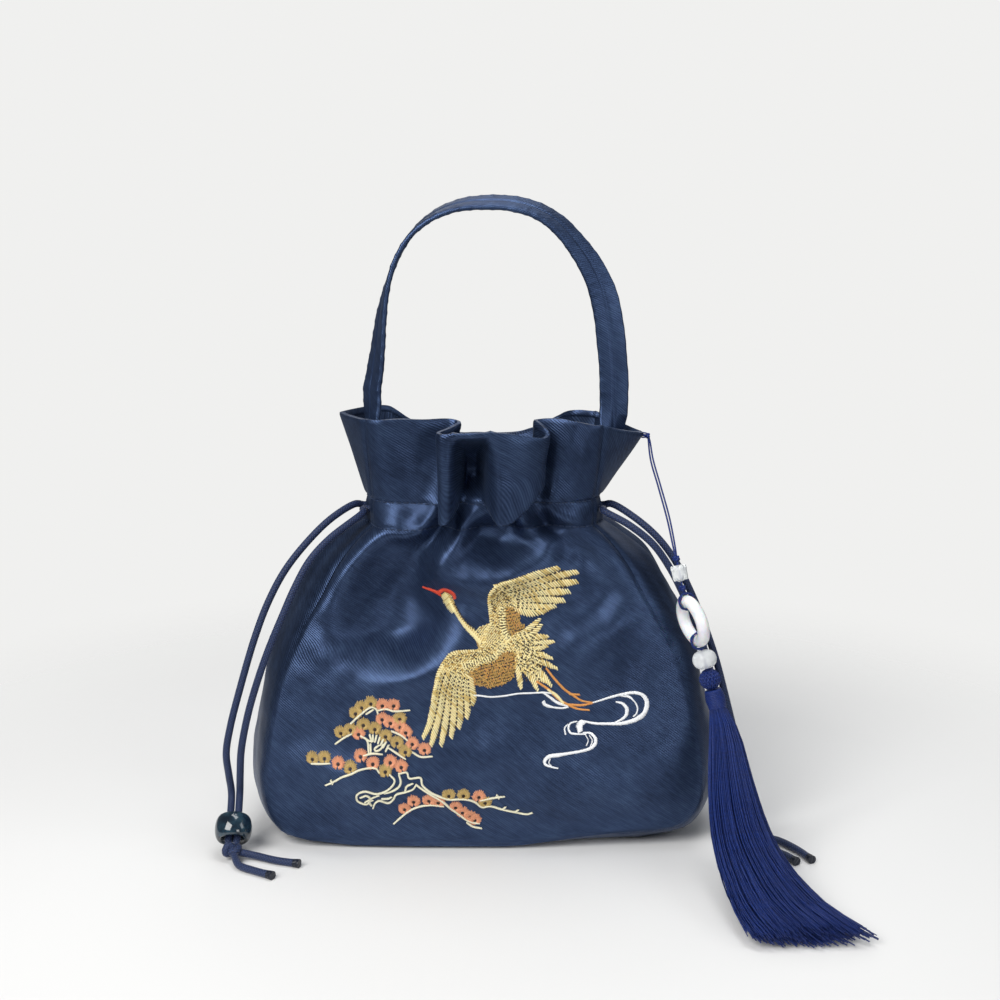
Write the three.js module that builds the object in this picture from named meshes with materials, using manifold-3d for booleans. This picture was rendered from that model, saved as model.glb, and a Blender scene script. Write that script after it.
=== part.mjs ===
// A drawstring bucket bag: a satin body on a flat base, a gathered casing with two
// drawstrings, a flared collar, a strap handle and a tassel pendant.
// Millimetres, +Z up, the bag's front faces -Y, origin at the middle of the base.
import * as THREE from "three";
import { mergeVertices } from "three/addons/utils/BufferGeometryUtils.js";
import Module from "manifold-3d";

const wasm = await Module();
wasm.setup();

// Cloth
const clothThickness = 1.2;
const liningThickness = 0.8;
const layerGap = 0.4; // between two layers that lie on each other
const seamGap = 0.6; // between two panels that meet at a seam
const liningDrop = 6.5; // how loosely the lining hangs inside the shell

// Bag body
const neckHeight = 160; // middle of the casing
const crestHalfWidth = 114.5; // widest half width, over both gussets
const seamHalfWidth = 105; // widest half width of the front panel
const baseSeamHalfWidth = 66; // half width of the base seam between its corners
const baseCrestHalfWidth = 88;
const baseHalfDepth = 45;
const bellyBow = 7; // the front stands this far proud of its seams
const baseBow = 1.5;
const floorGap = 1.6; // the base seam's height over the floor
const rightCornerLift = 6; // the base seam climbs towards the right corner
const liftReach = 22; // height over which the seam's lift fades out

// Neck and collar
const neckSeamHalfWidth = 42;
const neckCrestHalfWidth = 56;
const neckSeamDepth = 20;
const neckBow = 11;
const casingHeight = 12;
const collarHeight = 45;
const leftTip = 70; // how far the collar's side tips reach out
const rightTip = 78;
const rightTipDrop = 10;
const gatherRise = 2.4; // height of the gathers round the neck

// Drawstrings
const cordRadius = 1.75;
const cordSides = 8;
const cordClearance = 0.5;
const beadRadius = 8.75;
const beadHeight = 13;
const beadBore = 4.3;
const stringKnotRadius = 4.7;

// Handle
const strapWidth = 14;
const strapThickness = 2.4;
const hingeLift = 9; // the moving strap starts this far above the collar's rim

// Pendant
const hangerRadius = 0.7;
const hangerKnotRadius = 2;
const lotusRadius = 4.6;
const lotusHeight = 9.4;
const ringRadius = 12.7;
const ringSection = 2.9;
const loopSection = 0.5;
const lowerBeadRadius = 5.8;
const lowerBeadHeight = 9;
const tasselHeadRadius = 5;
const tasselNeckRadius = 4.5;
const tasselNeckHeight = 9;
const pendantGap = 0.3;

// Embroidery
const threadLift = 0.3;
const threadThickness = 0.6;
const outlineStitch = 1.1;
const pompomRadius = 3.5;

const rimHeight = neckHeight + collarHeight;
const casingBottom = neckHeight - casingHeight / 2;
const casingTop = neckHeight + casingHeight / 2;
const handleHinge = rimHeight + hingeLift;

const satin = { color: 0x26385c, roughness: 0.42, metalness: 0 };
const lining = { color: 0x1c2a47, roughness: 0.7, metalness: 0 };
const cordNavy = { color: 0x1b2a55, roughness: 0.75, metalness: 0 };
const silk = { color: 0x2d3c8c, roughness: 0.55, metalness: 0 };
const glaze = { color: 0x17303c, roughness: 0.12, metalness: 0 };
const clear = { color: 0xd8e2e8, roughness: 0.1, metalness: 0 };
const jade = { color: 0xeef0f2, roughness: 0.2, metalness: 0 };
const goldThread = { color: 0xd8b56a, roughness: 0.5, metalness: 0 };
const whiteThread = { color: 0xe6e8ea, roughness: 0.5, metalness: 0 };
const coralThread = { color: 0xb5735a, roughness: 0.5, metalness: 0 };

const bag = new THREE.Group();

function node(name, geometry, finish) {
  const mesh = new THREE.Mesh(geometry, new THREE.MeshStandardMaterial(finish));
  mesh.name = name;
  bag.add(mesh);
  return mesh;
}

const vec = (x, y, z) => new THREE.Vector3(x, y, z);
const mix = (a, b, t) => a + (b - a) * t;
const clamp01 = (t) => Math.min(1, Math.max(0, t));
const ease = (t) => clamp01(t) ** 2 * (3 - 2 * clamp01(t));

// A smooth value between stations [position, value].
function stations(list, at) {
  const last = list.length - 1;
  if (at <= list[0][0]) return list[0][1];
  if (at >= list[last][0]) return list[last][1];
  const i = list.findIndex((station) => station[0] > at) - 1;
  const slope = (k) => {
    const a = list[Math.max(0, k - 1)];
    const b = list[Math.min(last, k + 1)];
    return (b[1] - a[1]) / (b[0] - a[0]);
  };
  const [x0, y0] = list[i];
  const [x1, y1] = list[i + 1];
  const span = x1 - x0;
  const t = (at - x0) / span;
  const t2 = t * t;
  const t3 = t2 * t;
  return (
    y0 * (2 * t3 - 3 * t2 + 1) +
    slope(i) * span * (t3 - 2 * t2 + t) +
    y1 * (3 * t2 - 2 * t3) +
    slope(i + 1) * span * (t3 - t2)
  );
}

// Outline of the bag by height: shares of the height up to the casing and of the widest
// half width.
const crestOutline = [
  [0, baseCrestHalfWidth / crestHalfWidth],
  [0.03, 0.9],
  [0.08, 0.965],
  [0.16, 1],
  [0.31, 0.995],
  [0.5, 0.948],
  [0.63, 0.9],
  [0.75, 0.825],
  [0.83, 0.76],
  [0.9, 0.675],
  [0.955, 0.575],
  [1, neckCrestHalfWidth / crestHalfWidth],
];
const seamOutline = [
  [0, baseSeamHalfWidth / seamHalfWidth],
  [0.02, 0.85],
  [0.06, 0.94],
  [0.13, 0.99],
  [0.26, 1],
  [0.54, 0.92],
  [0.69, 0.82],
  [0.78, 0.74],
  [0.88, 0.62],
  [0.95, 0.5],
  [1, neckSeamHalfWidth / seamHalfWidth],
];
const depthOutline = [
  [0, baseHalfDepth],
  [0.25, 0.93 * baseHalfDepth],
  [0.6, 0.78 * baseHalfDepth],
  [0.85, mix(neckSeamDepth, baseHalfDepth, 0.35)],
  [1, neckSeamDepth],
];
const bowOutline = [
  [0, baseBow],
  [0.25, bellyBow],
  [0.5, 1.35 * bellyBow],
  [0.8, mix(neckBow, bellyBow, 0.4)],
  [1, neckBow],
];
const crestHalf = (z) => crestHalfWidth * stations(crestOutline, z / casingBottom);
const seamHalf = (z) => seamHalfWidth * stations(seamOutline, z / casingBottom);
const seamDepth = (z) => stations(depthOutline, z / casingBottom);
const bow = (z) => stations(bowOutline, z / casingBottom);

// Gathers: [place across the panel, share of the rise, width], each a soft ridge that
// starts at the casing and fans out below it.
const frontGathers = [
  [-0.86, 0.9, 0.1],
  [-0.6, 1.2, 0.12],
  [-0.33, 0.9, 0.09],
  [-0.08, 1.1, 0.1],
  [0.17, 0.9, 0.09],
  [0.43, 1.2, 0.1],
  [0.7, 0.9, 0.1],
];
const backGathers = [
  [-0.75, 1, 0.12],
  [-0.45, 0.9, 0.1],
  [-0.15, 1.2, 0.12],
  [0.18, 0.9, 0.1],
  [0.5, 1.1, 0.12],
  [0.8, 0.9, 0.1],
];
const gatherLength = 34;
const collarFade = 0.6; // they smooth out over this share of the collar
const casingHold = 0.5; // the two stitch lines hold the gathers down by this share
function gathers(list, s, z) {
  const below = Math.exp(-(((casingBottom - Math.min(z, casingBottom)) / gatherLength) ** 2));
  const above = 1 - ease((z - casingTop) / (collarFade * collarHeight));
  const taken = 1 - casingHold * Math.exp(-(((z - neckHeight) / casingHeight) ** 4));
  const ridge = ([at, share, wide]) => share * Math.exp(-(((s - at) / wide) ** 2));
  const ridges = list.reduce((sum, one) => sum + ridge(one), 0);
  return gatherRise * ridges * below * above * taken;
}

// Broad folds of the front: ends [x, z], rise (a valley is negative) and width.
const frontFolds = [
  { from: [-46, 156], to: [-60, 128], rise: 3, width: 12 },
  { from: [-22, 158], to: [-34, 126], rise: -2.4, width: 7 },
  { from: [-2, 160], to: [-26, 134], rise: 2.2, width: 7 },
  { from: [30, 158], to: [40, 128], rise: -2.2, width: 9 },
  { from: [-88, 120], to: [-66, 86], rise: -2, width: 9 },
  { from: [-66, 86], to: [-20, 72], rise: -1.5, width: 9 },
];
function folds(list, x, z) {
  return list.reduce((sum, fold) => {
    const [ax, az] = fold.from;
    const [bx, bz] = fold.to;
    const dx = bx - ax;
    const dz = bz - az;
    const along = ((x - ax) * dx + (z - az) * dz) / (dx * dx + dz * dz);
    const t = clamp01(along);
    const away = Math.hypot(x - ax - t * dx, z - az - t * dz);
    return sum + fold.rise * Math.exp(-((away / fold.width) ** 2));
  }, 0);
}

// Rim of the collar seen from above, from the left seam to the right one.
const frontRim = new THREE.CatmullRomCurve3(
  [
    [-56, -27], [-46, -33], [-36, -30], [-27, -31], [-22, -40], [-13, -47], [0, -49],
    [13, -47], [21, -42], [26, -33], [36, -28], [46, -31], [57, -27],
  ].map(([x, y]) => vec(x, y, 0)),
);
const backRim = new THREE.CatmullRomCurve3(
  [
    [-56, 27], [-45, 33], [-34, 29], [-20, 36], [-8, 31], [6, 37], [20, 31], [33, 36], [45, 30], [57, 27],
  ].map(([x, y]) => vec(x, y, 0)),
);
const rimSeam = frontRim.points[0];
const rimSeamRight = frontRim.points[frontRim.points.length - 1];

// Height of a row v: 0 at the base, 1 and 2 at the casing's two stitch lines, 3 at the rim.
function rowHeight(v) {
  if (v <= 1) return v * casingBottom;
  if (v <= 2) return casingBottom + (v - 1) * casingHeight;
  return casingTop + (v - 2) * (rimHeight - casingTop);
}
const seamLift = (s) => floorGap + rightCornerLift * ease((s - 0.1) / 0.9);
const liftFade = (z) => Math.exp(-z / liftReach);
const curlStart = 0.6; // the base is flat up to this share of its half depth
const curl = (q) => Math.max(0, (Math.abs(q) - curlStart) / (1 - curlStart)) ** 2;
const flarePower = 0.85;
const flare = (v) => clamp01(v - 2) ** flarePower;
// How square the front bows out between its seams, and a gusset between its own.
const frontSquare = 2.6;
const gussetSquare = 2.4;
const seamDrop = 0.3; // the collar's seams drop by this share of its right tip's drop
const foldFade = 0.14; // the broad folds die out over this share of the height, below the casing

// One panel: side -1 is the front, 1 the back; s runs from the left seam to the right.
// detail is 0 for a smooth panel, 1 with its broad folds and 2 with its gathers as well.
const smooth = 0;
const folded = 1;
const gathered = 2;
function panelPoint(side, s, v, detail = gathered) {
  const z = rowHeight(Math.min(v, 1));
  const half = seamHalf(z);
  const x = half * s;
  const lists = side < 0 ? [frontGathers, frontFolds] : [backGathers, []];
  const height = rowHeight(v) + seamLift(s) * liftFade(rowHeight(v));
  const broad = detail >= folded ? folds(lists[1], x, z) * ease((1 - v) / foldFade) : 0;
  const fine = detail >= gathered ? gathers(lists[0], s, rowHeight(v)) : 0;
  const ruffle = broad + fine;
  const bowed = bow(z) * (1 - Math.abs(s) ** frontSquare) + ruffle * (1 - Math.abs(s) ** 8);
  const y = side * (seamDepth(z) + bowed);
  if (v <= 2) return vec(x, y, height);
  const rim = (side < 0 ? frontRim : backRim).getPointAt((s + 1) / 2);
  const w = flare(v);
  const drop = rightTipDrop * ease((s - 0.5) / 0.5) * seamDrop * w;
  return vec(mix(x, rim.x, w), mix(y, rim.y, w), height - drop);
}

// The gusset beside the body: sign -1 is the left; q runs from the front seam to the back.
function gussetPoint(sign, q, v) {
  const z = rowHeight(Math.min(v, 1));
  const belly = 1 - Math.abs(q) ** gussetSquare;
  const flat = v < 1 ? mix(1, curl(q), liftFade(z) ** 0.5) : 1;
  const lift = seamLift(sign) * liftFade(rowHeight(v)) * flat;
  const x = mix(seamHalf(z), crestHalf(z), belly);
  const y = seamDepth(z) * q;
  if (v <= 2) return vec(sign * x, y, rowHeight(v) + lift);
  const w = flare(v);
  const seam = sign < 0 ? -rimSeam.x : rimSeamRight.x;
  const tip = sign < 0 ? leftTip : rightTip;
  const tipX = mix(seam, tip, 1 - Math.abs(q) ** 1.3);
  const drop = sign > 0 ? rightTipDrop * w * mix(1, seamDrop, Math.abs(q) ** 1.5) : 0;
  return vec(sign * mix(x, tipX, w), mix(y, -rimSeam.y * q, w), rowHeight(v) + lift - drop);
}

function basePoint(s, q) {
  const belly = 1 - Math.abs(q) ** gussetSquare;
  const side = Math.sign(q) * (baseHalfDepth + baseBow * (1 - Math.abs(s) ** frontSquare));
  const half = mix(baseSeamHalfWidth, baseCrestHalfWidth, belly);
  return vec(s * half, Math.abs(q) * side, seamLift(s) * curl(q));
}

// Outward normal of a surface at (a, b), from steps to either side.
function normalOf(surface, a, b, turn) {
  const step = 0.004;
  const da = surface(a + step, b).sub(surface(a - step, b));
  const db = surface(a, b + step).sub(surface(a, b - step));
  return da.cross(db).normalize().multiplyScalar(turn);
}
const inside = (t, low, high) => Math.min(high, Math.max(low, t));
const edgeStep = 0.012;
const panelNormal = (side, s, v, detail) =>
  normalOf((a, b) => panelPoint(side, a, b, detail), inside(s, -1 + edgeStep, 1 - edgeStep),
    inside(v, edgeStep, 3 - edgeStep), -side);
const gussetNormal = (sign, q, v) =>
  normalOf((a, b) => gussetPoint(sign, a, b), inside(q, -1 + edgeStep, 1 - edgeStep),
    inside(v, edgeStep, 3 - edgeStep), sign);
const baseNormal = (s, q) =>
  normalOf(basePoint, inside(s, -1 + edgeStep, 1 - edgeStep), inside(q, -1 + edgeStep, 1 - edgeStep), -1);

// At a seam both panels share one normal, so that their layers meet on a mitre. It is
// longer than 1, so that a layer keeps its thickness up to the seam.
function mitre(...normals) {
  const sum = normals.reduce((all, one) => all.add(one), vec(0, 0, 0));
  const reach = normals.reduce((total, one) => total + sum.dot(one), 0) / normals.length;
  return sum.divideScalar(reach);
}
function panelSite(side, detail = gathered) {
  return (s, v) => {
    const normals = [panelNormal(side, s, v, detail)];
    if (Math.abs(s) === 1) normals.push(gussetNormal(s, side, v));
    if (v === 0) normals.push(baseNormal(s, side));
    return { point: panelPoint(side, s, v, detail), normal: mitre(...normals) };
  };
}
function gussetSite(sign) {
  return (q, v) => {
    const normals = [gussetNormal(sign, q, v)];
    if (Math.abs(q) === 1) normals.push(panelNormal(q, sign, v, smooth));
    if (v === 0) normals.push(baseNormal(sign, q));
    return { point: gussetPoint(sign, q, v), normal: mitre(...normals) };
  };
}
function baseSite(s, q) {
  const normals = [baseNormal(s, q)];
  if (Math.abs(q) === 1) normals.push(panelNormal(q, s, 0, smooth));
  return { point: basePoint(s, q), normal: mitre(...normals) };
}

// A closed layer from rows of sites: outer and inner are depths below the surface.
// trim names the edges that are drawn back: [first row, last row, first column, last column].
function layer(rows, outer, inner, trim = [0, 0, 0, 0]) {
  const count = rows.length;
  const across = rows[0].length;
  const drawn = rows.map((row) => row.map((site) => site.point.clone()));
  const pull = (i, j, i2, j2, amount) => {
    const way = rows[i2][j2].point.clone().sub(rows[i][j].point).normalize();
    drawn[i][j].addScaledVector(way, amount);
  };
  for (let j = 0; j < across; j++) {
    if (trim[0]) pull(0, j, 1, j, trim[0]);
    if (trim[1]) pull(count - 1, j, count - 2, j, trim[1]);
  }
  for (let i = 0; i < count; i++) {
    if (trim[2]) pull(i, 0, i, 1, trim[2]);
    if (trim[3]) pull(i, across - 1, i, across - 2, trim[3]);
  }
  const depthAt = (depth, i, j) => (typeof depth === "function" ? depth(rows[i][j].point.z) : depth);
  const positions = [];
  for (const depth of [outer, inner])
    for (let i = 0; i < count; i++)
      for (let j = 0; j < across; j++) {
        const at = drawn[i][j].clone().addScaledVector(rows[i][j].normal, -depthAt(depth, i, j));
        positions.push(at.x, at.y, at.z);
      }
  const half = count * across;
  const end = count - 1;
  const side = across - 1;
  const id = (i, j, face) => face * half + i * across + j;
  const index = [];
  const quad = (a, b, c, d) => index.push(a, b, c, a, c, d);
  for (let i = 0; i + 1 < count; i++)
    for (let j = 0; j + 1 < across; j++) {
      quad(id(i, j, 0), id(i, j + 1, 0), id(i + 1, j + 1, 0), id(i + 1, j, 0));
      quad(id(i, j, 1), id(i + 1, j, 1), id(i + 1, j + 1, 1), id(i, j + 1, 1));
    }
  for (let j = 0; j + 1 < across; j++) {
    quad(id(0, j, 1), id(0, j + 1, 1), id(0, j + 1, 0), id(0, j, 0));
    quad(id(end, j, 0), id(end, j + 1, 0), id(end, j + 1, 1), id(end, j, 1));
  }
  for (let i = 0; i + 1 < count; i++) {
    quad(id(i, 0, 0), id(i + 1, 0, 0), id(i + 1, 0, 1), id(i, 0, 1));
    quad(id(i, side, 1), id(i + 1, side, 1), id(i + 1, side, 0), id(i, side, 0));
  }
  return facingOut(positions, index);
}

// A geometry from corners and triangles, turned round if it came out inside out.
function facingOut(positions, index) {
  const corner = (k) => vec(positions[3 * k], positions[3 * k + 1], positions[3 * k + 2]);
  let volume = 0;
  for (let i = 0; i < index.length; i += 3)
    volume += corner(index[i]).dot(corner(index[i + 1]).cross(corner(index[i + 2])));
  const faces = volume < 0 ? index.slice().reverse() : index;
  const geometry = new THREE.BufferGeometry();
  geometry.setAttribute("position", new THREE.Float32BufferAttribute(positions, 3));
  geometry.setIndex(faces);
  geometry.computeVertexNormals();
  return geometry;
}

function solid(geometry) {
  const bare = geometry.clone();
  bare.deleteAttribute("normal");
  bare.deleteAttribute("uv");
  const merged = mergeVertices(bare, 1e-3);
  return new wasm.Manifold(
    new wasm.Mesh({
      numProp: 3,
      vertProperties: new Float32Array(merged.attributes.position.array),
      triVerts: new Uint32Array(merged.index.array),
    }),
  );
}
function geometryOf(made) {
  const mesh = made.getMesh();
  const geometry = new THREE.BufferGeometry();
  geometry.setAttribute("position", new THREE.BufferAttribute(mesh.vertProperties, 3));
  geometry.setIndex(new THREE.BufferAttribute(mesh.triVerts, 1));
  geometry.computeVertexNormals();
  return geometry;
}

// Turned solids and round cords
function turned(profile, sides, at, along) {
  const geometry = new THREE.LatheGeometry(profile.map(([r, y]) => new THREE.Vector2(r, y)), sides);
  const lean = new THREE.Quaternion().setFromUnitVectors(vec(0, 1, 0), along.clone().normalize());
  geometry.applyQuaternion(lean);
  geometry.translate(at.x, at.y, at.z);
  const bare = geometry.clone();
  bare.deleteAttribute("normal");
  bare.deleteAttribute("uv");
  const merged = mergeVertices(bare, 1e-3);
  const index = Array.from(merged.index.array);
  const kept = [];
  for (let i = 0; i < index.length; i += 3) {
    const [a, b, c] = index.slice(i, i + 3);
    if (a !== b && b !== c && c !== a) kept.push(a, b, c);
  }
  return facingOut(Array.from(merged.attributes.position.array), kept);
}
function ball(radius, tall, sides, rings, at, along) {
  const profile = [];
  for (let k = 0; k <= rings; k++) {
    const angle = Math.PI * (k / rings - 0.5);
    const r = k === 0 || k === rings ? 0 : radius * Math.cos(angle);
    profile.push([r, tall * Math.sin(angle)]);
  }
  return turned(profile, sides, at, along);
}
function cord(points, radius, steps) {
  const path = new THREE.CatmullRomCurve3(points, false, "centripetal");
  const section = new THREE.Shape();
  for (let k = 0; k < cordSides; k++) {
    const angle = (2 * Math.PI * k) / cordSides;
    const x = radius * Math.cos(angle);
    const y = radius * Math.sin(angle);
    if (k === 0) section.moveTo(x, y);
    else section.lineTo(x, y);
  }
  return new THREE.ExtrudeGeometry(section, { steps, extrudePath: path, curveSegments: 1 });
}

// Panels
const bodyRows = [0, 0.02, 0.05, 0.1, 0.18, 0.3, 0.42, 0.54, 0.66, 0.76, 0.85, 0.92, 0.97];
const collarRows = [1, 1.5, 2, 2.15, 2.35, 2.65, 3];
const shellRows = [...bodyRows, ...collarRows];
function spread(count, low, high) {
  return Array.from({ length: count + 1 }, (_, k) => mix(low, high, k / count));
}
const frontColumns = spread(28, -1, 1);
const backColumns = spread(16, -1, 1);
const gussetColumns = [-1, -0.86, -curlStart, -curlStart / 2, 0, curlStart / 2, curlStart, 0.86, 1];
const sites = (site, columns, rows) => rows.map((v) => columns.map((s) => site(s, v)));

const trimmed = seamGap / 2;
const sewn = [trimmed, 0, trimmed, trimmed];
node("front_panel", layer(sites(panelSite(-1), frontColumns, shellRows), 0, clothThickness, sewn), satin);
node("back_panel", layer(sites(panelSite(1), backColumns, shellRows), 0, clothThickness, sewn), satin);

// The gusset is one strip: down the left side, under the base and up the right side.
function gussetRows(sideRows, baseSteps, columns) {
  const left = [...sideRows].reverse().map((v) => columns.map((q) => gussetSite(-1)(q, v)));
  const under = spread(baseSteps, -1, 1).slice(1, -1).map((s) => columns.map((q) => baseSite(s, q)));
  const right = sideRows.map((v) => columns.map((q) => gussetSite(1)(q, v)));
  return [...left, ...under, ...right];
}
const sewnSides = [0, 0, trimmed, trimmed];
const gussetShell = solid(layer(gussetRows(shellRows, 12, gussetColumns), 0, clothThickness, sewnSides));

// Slits where each drawstring leaves the casing, at the front half of each gusset.
const exitPlaces = [-0.62, -0.12];
const slitRadius = cordRadius + cordClearance;
const exitRow = 1.5; // the middle of the casing
function exitAt(sign, q, depth) {
  return gussetPoint(sign, q, exitRow).addScaledVector(gussetNormal(sign, q, exitRow), -depth);
}
function slit(sign, q) {
  const drill = new THREE.CylinderGeometry(slitRadius, slitRadius, 6 * clothThickness, 10);
  const way = gussetNormal(sign, q, exitRow);
  drill.applyQuaternion(new THREE.Quaternion().setFromUnitVectors(vec(0, 1, 0), way));
  const at = exitAt(sign, q, 0);
  drill.translate(at.x, at.y, at.z);
  return solid(drill);
}
const slits = [-1, 1].flatMap((sign) => exitPlaces.map((q) => slit(sign, q)));
node("gusset", geometryOf(slits.reduce((made, hole) => made.subtract(hole), gussetShell)), satin);

// The collar is doubled: its facing follows the shell and swings in over the casing.
const channelDepth = clothThickness + 3 * cordClearance + 2 * cordRadius;
const swingIn = 0.8; // share of the casing's height over which the facing swings in
function facingDepth(extra) {
  return (z) => {
    const above = (z - casingTop - 0.5) / (swingIn * casingHeight);
    return mix(channelDepth, clothThickness + layerGap, ease(above)) + extra;
  };
}
const hemRows = [0.95, 1, 1.5, 2];
const facingRows = [...hemRows, 2.15, 2.35, 2.65, 3];
const sidesOnly = [0, 0, trimmed, trimmed];
function facing(name, columns, siteOf) {
  const rows = facingRows.map((v) => columns.map((s) => siteOf(hemRows.includes(v))(s, v)));
  node(name, layer(rows, facingDepth(0), facingDepth(liningThickness), sidesOnly), satin);
}
facing("front_facing", frontColumns, (hem) => panelSite(-1, hem ? folded : gathered));
facing("back_facing", backColumns, (hem) => panelSite(1, hem ? folded : gathered));
facing("left_facing", gussetColumns, () => gussetSite(-1));
facing("right_facing", gussetColumns, () => gussetSite(1));

// The lining hangs loosely inside, from the facing's hem down to the base.
const liningRows = [0, 0.05, 0.12, 0.3, 0.55, 0.75, 0.92];
const liningColumns = spread(8, -1, 1);
const liningSides = [-1, -0.6, 0, 0.6, 1];
const baseLift = clothThickness + layerGap;
const liningRise = 20; // height over which the lining comes away from the shell
const liningDepth = (extra) => (z) => mix(baseLift, liningDrop, ease(z / liningRise)) + extra;
const liningOuter = liningDepth(0);
const liningInner = liningDepth(liningThickness);
const liningSewn = [seamGap, 0, seamGap, seamGap];
const liningSidesSewn = [0, 0, seamGap, seamGap];
function liningPanel(rows, trim) {
  return layer(rows, liningOuter, liningInner, trim);
}
for (const [name, side] of [["front_lining", -1], ["back_lining", 1]]) {
  const rows = sites(panelSite(side, smooth), liningColumns, liningRows);
  node(name, liningPanel(rows, liningSewn), lining);
}
node("gusset_lining", liningPanel(gussetRows(liningRows, 8, liningSides), liningSidesSewn), lining);

// Drawstrings: each runs once round the neck in the casing and leaves at its own side.
const cordDepth = clothThickness + cordClearance + cordRadius;
function casingRoute(sign, row) {
  const across = (side, columns) => columns.map((s) => panelSite(side, folded)(s, row));
  const beside = (at, columns) => columns.map((q) => gussetSite(at)(q, row));
  const panelStops = spread(12, -0.9, 0.9);
  const far = [-0.7, -0.25, 0.25, 0.7];
  const route = [
    ...beside(sign, [exitPlaces[0], -0.85]),
    ...across(-1, sign < 0 ? panelStops : [...panelStops].reverse()),
    ...beside(-sign, far),
    ...across(1, sign < 0 ? [...panelStops].reverse() : panelStops),
    ...beside(sign, [0.8, 0.3, exitPlaces[1]]),
  ];
  return route.map((site) => site.point.clone().addScaledVector(site.normal, -cordDepth));
}
const casingSteps = 42;
const cordLevel = (cordRadius + cordClearance / 2) / casingHeight;
const leftRow = exitRow - cordLevel;
const rightRow = exitRow + cordLevel;
node("left_casing_cord", cord(casingRoute(-1, leftRow), cordRadius, casingSteps), cordNavy);
node("right_casing_cord", cord(casingRoute(1, rightRow), cordRadius, casingSteps), cordNavy);

// A free strand starts in its slit, lies on the gusset's shoulder and hangs to its bead.
const strandStart = 0.75 * clothThickness;
const strandSteps = 18;
const strandRoutes = [
  { name: "left_front_strand", sign: -1, exit: 0, bends: [
    [-57, -16.5, 159.5], [-72.6, -27, 148.5], [-81.5, -33, 139.3], [-88, -37.5, 127.8], [-94, -41, 114.3],
    [-100, -43, 100.2], [-105.8, -44, 84.5], [-111, -44, 67.6], [-115.3, -42, 48.5], [-116.8, -39, 35]] },
  { name: "left_back_strand", sign: -1, exit: 1, bends: [
    [-62, -5, 161], [-73, -13, 155.5], [-84, -20, 145.5], [-94.5, -26, 132.5], [-102.5, -30, 117.5],
    [-108.5, -34, 101.6], [-115.2, -38.5, 79], [-120.4, -41, 59.4], [-122.8, -40.5, 46.3],
    [-122.3, -38.5, 34.5]] },
  { name: "right_front_strand", sign: 1, exit: 0, bends: [
    [57, -15.5, 160], [71, -22, 154], [84.5, -25, 145.5], [93.5, -26, 134.5], [100, -26, 121],
    [106.5, -26, 105], [111.5, -26, 88], [115.5, -26, 68], [118.5, -25.5, 48], [119.8, -24.5, 35]] },
  { name: "right_back_strand", sign: 1, exit: 1, bends: [
    [62, -5, 161], [75, -12, 155.5], [88, -17, 147], [97.5, -19, 136], [104.5, -20, 121.5],
    [111, -20.5, 105], [116.3, -21.5, 88], [120.5, -22.5, 68], [124, -23.5, 48], [125, -24, 35]] },
];

// Each side's two strands run through one glazed bead into a knot, and end in two tails.
const stringEnds = [
  { side: "left", sign: -1, bead: [-119, -49, 12.4], lean: [0.05, -0.74, -0.67], tails: [
    { name: "inner", bends: [[-107, -58.5, 2.4], [-97, -62.5, 1.9], [-85.5, -66, 1.9]] },
    { name: "outer", bends: [[-113.5, -68, 2.2], [-106, -73, 1.9], [-96, -78.5, 1.9]] }] },
  { side: "right", sign: 1, bead: [125.5, -34.5, 12.4], lean: [0.2, -0.69, -0.69], tails: [
    { name: "inner", bends: [[136.5, -50.5, 2.2], [143, -57, 1.9], [147, -64, 1.9]] },
    { name: "outer", bends: [[141, -40.5, 2.4], [149, -49.5, 1.9], [154.5, -62, 1.9]] }] },
];
const boreRim = 0.7; // how wide and deep a bead's hole is eased at its ends
// Above a bead its two strands run side by side, this far from the bead's middle and this
// far either side of its axis.
const laneLength = 1.35 * beadHeight;
const strandHalfSpan = cordRadius + cordClearance / 2;
const knotSeat = beadHeight / 2 + pendantGap + stringKnotRadius;
for (const end of stringEnds) {
  const bead = vec(...end.bead);
  const lean = vec(...end.lean).normalize();
  const sideways = vec(0, -1, 0).cross(lean).normalize().multiplyScalar(-end.sign);
  const knot = bead.clone().addScaledVector(lean, knotSeat);
  const strandEnd = knot.clone().addScaledVector(lean, -stringKnotRadius - pendantGap);
  const aboveBead = bead.clone().addScaledVector(lean, -laneLength);
  strandRoutes.filter((route) => route.sign === end.sign).forEach((route, k) => {
    const aside = (k === 0 ? 1 : -1) * strandHalfSpan;
    const lane = (at) => at.clone().addScaledVector(sideways, aside);
    const start = exitAt(route.sign, exitPlaces[route.exit], strandStart);
    const out = exitAt(route.sign, exitPlaces[route.exit], -1.6 * cordRadius);
    const bends = route.bends.map((at) => vec(...at));
    const points = [start, out, ...bends, lane(aboveBead), lane(strandEnd)];
    node(route.name, cord(points, cordRadius, strandSteps), cordNavy);
  });
  const beadProfile = [];
  for (let k = 0; k <= 6; k++) {
    const angle = Math.PI * (k / 6 - 0.5);
    const radius = mix(beadBore + boreRim, beadRadius, Math.cos(angle) ** 0.8);
    beadProfile.push([radius, (beadHeight / 2) * Math.sin(angle)]);
  }
  const boreEnd = beadHeight / 2 - boreRim / 2;
  beadProfile.push([beadBore, boreEnd], [beadBore, -boreEnd], beadProfile[0]);
  node(end.side + "_bead", turned(beadProfile, 16, bead, lean), glaze);
  node(end.side + "_string_knot", ball(stringKnotRadius, stringKnotRadius, 10, 7, knot, lean), cordNavy);
  for (const tail of end.tails) {
    const bends = tail.bends.map((at) => vec(...at));
    const way = bends[0].clone().sub(knot).normalize();
    const start = knot.clone().addScaledVector(way, stringKnotRadius + pendantGap);
    node(end.side + "_" + tail.name + "_tail", cord([start, ...bends], cordRadius, 8), cordNavy);
  }
}

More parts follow.
